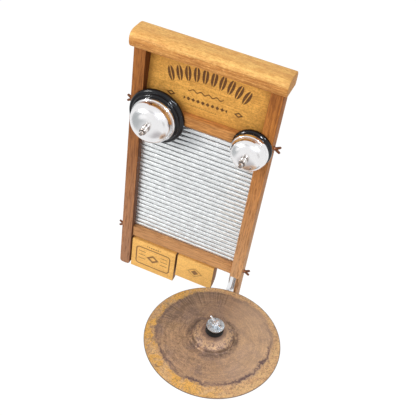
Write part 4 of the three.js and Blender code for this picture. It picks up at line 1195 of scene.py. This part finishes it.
class WASHBOARD_OT_stage(PieceOperator, bpy.types.Operator):
    """Camera, floor, world, lamps and reflected cards"""

    bl_idname = "washboard.stage"
    bl_label = "Studio"

    def make(self):
        scene = bpy.context.scene
        scene.view_settings.view_transform = "Standard"
        self.make_camera(scene)
        self.make_floor()
        self.make_world(scene)
        power = sizes().lamp_power
        self.make_lamp("key_lamp", (-0.9, -1.5, 1.1), 0.9, power)
        self.make_lamp("front_lamp", (0.5, -1.7, 0.5), 1.2, power * 0.5)
        self.make_lamp("top_lamp", (-0.3, -0.6, 1.7), 0.9, power * 0.25)
        for name, place, width, height, tint, strength, share in CARDS:
            self.make_card(name, Vector(place), width, height, tint, strength, share)

    def make_camera(self, scene):
        data = bpy.data.cameras.new("camera")
        data.lens = CAMERA_LENS
        data.sensor_width = 36
        data.clip_start = 0.01
        camera = bpy.data.objects.new("camera", data)
        back = CAMERA_RIGHT.cross(CAMERA_UP)
        turned = Matrix((CAMERA_RIGHT, CAMERA_UP, back)).transposed().to_4x4()
        camera.matrix_world = Matrix.Translation(CAMERA_EYE) @ turned
        scene.collection.objects.link(camera)
        scene.camera = camera

    def make_floor(self):
        floor = add_plane("studio_floor", 30, (0, 0, CAD_BOX[0].z - sizes().floor_drop))
        apply_place()
        s = Surface("pale_floor", base_color=colours().floor, roughness=0.9)
        cover = s.times(s.seen(), FLOOR_COVER)
        material = s.finish_glowing(cover, s.shader.outputs[0], (1, 1, 1), FLOOR_GLOW)
        floor.data.materials.append(material)

    def make_world(self, scene):
        world = bpy.data.worlds.new("studio_world")
        world.use_nodes = True
        nodes = Nodes(world.node_tree)
        sky = nodes.tree.nodes["Background"].inputs
        sky["Color"].default_value = (1, 1, 1, 1)
        nodes.link(nodes.ramp(nodes.seen(), 0, 1, SKY_LIGHT, SKY_SEEN), sky["Strength"])
        scene.world = world

    def make_lamp(self, name, place, width, power):
        data = bpy.data.lights.new(name, "AREA")
        data.size = width
        data.energy = power
        lamp = bpy.data.objects.new(name, data)
        lamp.location = place
        lamp.rotation_euler = aimed(lamp.location, -0.1)
        lamp.visible_glossy = False
        bpy.context.scene.collection.objects.link(lamp)

    def make_card(self, name, place, width, height, tint, strength, share):
        """A soft-edged card that only mirrors see; share is how much of it covers what lies behind."""
        card = add_plane(name, 1, place, rotation=aimed(place, -0.05))
        card.scale = (width, height, 1)
        for kind in ("camera", "diffuse", "transmission", "volume_scatter", "shadow"):
            setattr(card, "visible_" + kind, False)
        s = Surface(name + "_glow")
        clear = s.add("ShaderNodeBsdfTransparent").outputs[0]
        reach = s.add("ShaderNodeVectorMath", operation="LENGTH")
        s.link(s.place((2, 2, 2)), reach.inputs[0])
        cover = s.times(s.fall(reach.outputs["Value"], 0.45, 1.0), share)
        card.data.materials.append(s.finish_glowing(cover, clear, tint, strength))


# name, place, width, height, tint, strength, and how much it covers of what lies behind
CARDS = [
    ("arc_card", (-1.05, -1.0, 0.48), 0.7, 0.16, (1.0, 1.0, 1.0), 80.0, 1.0),
    ("streak_card", (0.55, -1.2, 0.85), 0.26, 0.26, (0.84, 0.90, 1.0), 90.0, 1.0),
    ("side_card", (1.05, -0.4, 1.05), 0.3, 0.3, (0.84, 0.91, 1.0), 70.0, 1.0),
    ("grey_card", (-0.58, -0.46, -0.24), 1.0, 0.95, (0.42, 0.45, 0.46), 1.0, 0.85),
    ("spot_card", (-0.36, -0.56, -0.12), 0.32, 0.30, (1.0, 1.0, 1.0), 1.2, 1.0),
    ("low_grey_card", (0.02, -0.58, -0.6), 0.7, 0.5, (0.42, 0.39, 0.40), 1.0, 0.75),
    ("high_grey_card", (-0.2, -0.7, 0.5), 0.6, 0.35, (0.55, 0.55, 0.57), 1.0, 0.65),
    ("right_grey_card", (0.75, -0.75, 0.0), 0.5, 0.5, (0.60, 0.58, 0.57), 1.0, 0.6),
    # the two arm cards are dark sheets that only the tube mirrors: a painted dark reflection of the floor in
    # the cymbal's shadow
    ("arm_card", (0.247, -0.296, -0.604), 0.28, 0.3, (0.20, 0.18, 0.17), 1.0, 0.95),
    ("arm_side_card", (0.397, -0.117, -0.604), 0.28, 0.3, (0.28, 0.33, 0.36), 1.0, 0.95),
]


class WASHBOARD_PT_panel(bpy.types.Panel):
    """Lists the washboard's operators"""

    bl_idname = "WASHBOARD_PT_panel"
    bl_label = "Washboard"
    bl_space_type = "VIEW_3D"
    bl_region_type = "UI"
    bl_category = "Washboard"

    def draw(self, context):
        for operator in OPERATORS:
            self.layout.operator(operator.bl_idname)
        for group in (context.scene.washboard_colours, context.scene.washboard_sizes):
            for name in group.bl_rna.properties.keys():
                if name not in ("rna_type", "name"):
                    self.layout.prop(group, name)


OPERATORS = [
    WASHBOARD_OT_stage,
    WASHBOARD_OT_wood,
    WASHBOARD_OT_blocks,
    WASHBOARD_OT_sheet,
    WASHBOARD_OT_bells,
    WASHBOARD_OT_cymbal,
    WASHBOARD_OT_arm,
    WASHBOARD_OT_fittings,
]
KINDS = [WashboardColours, WashboardSizes, *OPERATORS, WASHBOARD_PT_panel]


def register():
    for kind in KINDS:
        bpy.utils.register_class(kind)
    bpy.types.Scene.washboard_colours = PointerProperty(type=WashboardColours)
    bpy.types.Scene.washboard_sizes = PointerProperty(type=WashboardSizes)


def unregister():
    del bpy.types.Scene.washboard_colours
    del bpy.types.Scene.washboard_sizes
    for kind in reversed(KINDS):
        bpy.utils.unregister_class(kind)


def main():
    register()
    for operator in OPERATORS:
        area, name = operator.bl_idname.split(".")
        getattr(getattr(bpy.ops, area), name)()
    clear_selection()


if __name__ == "__main__":
    main()
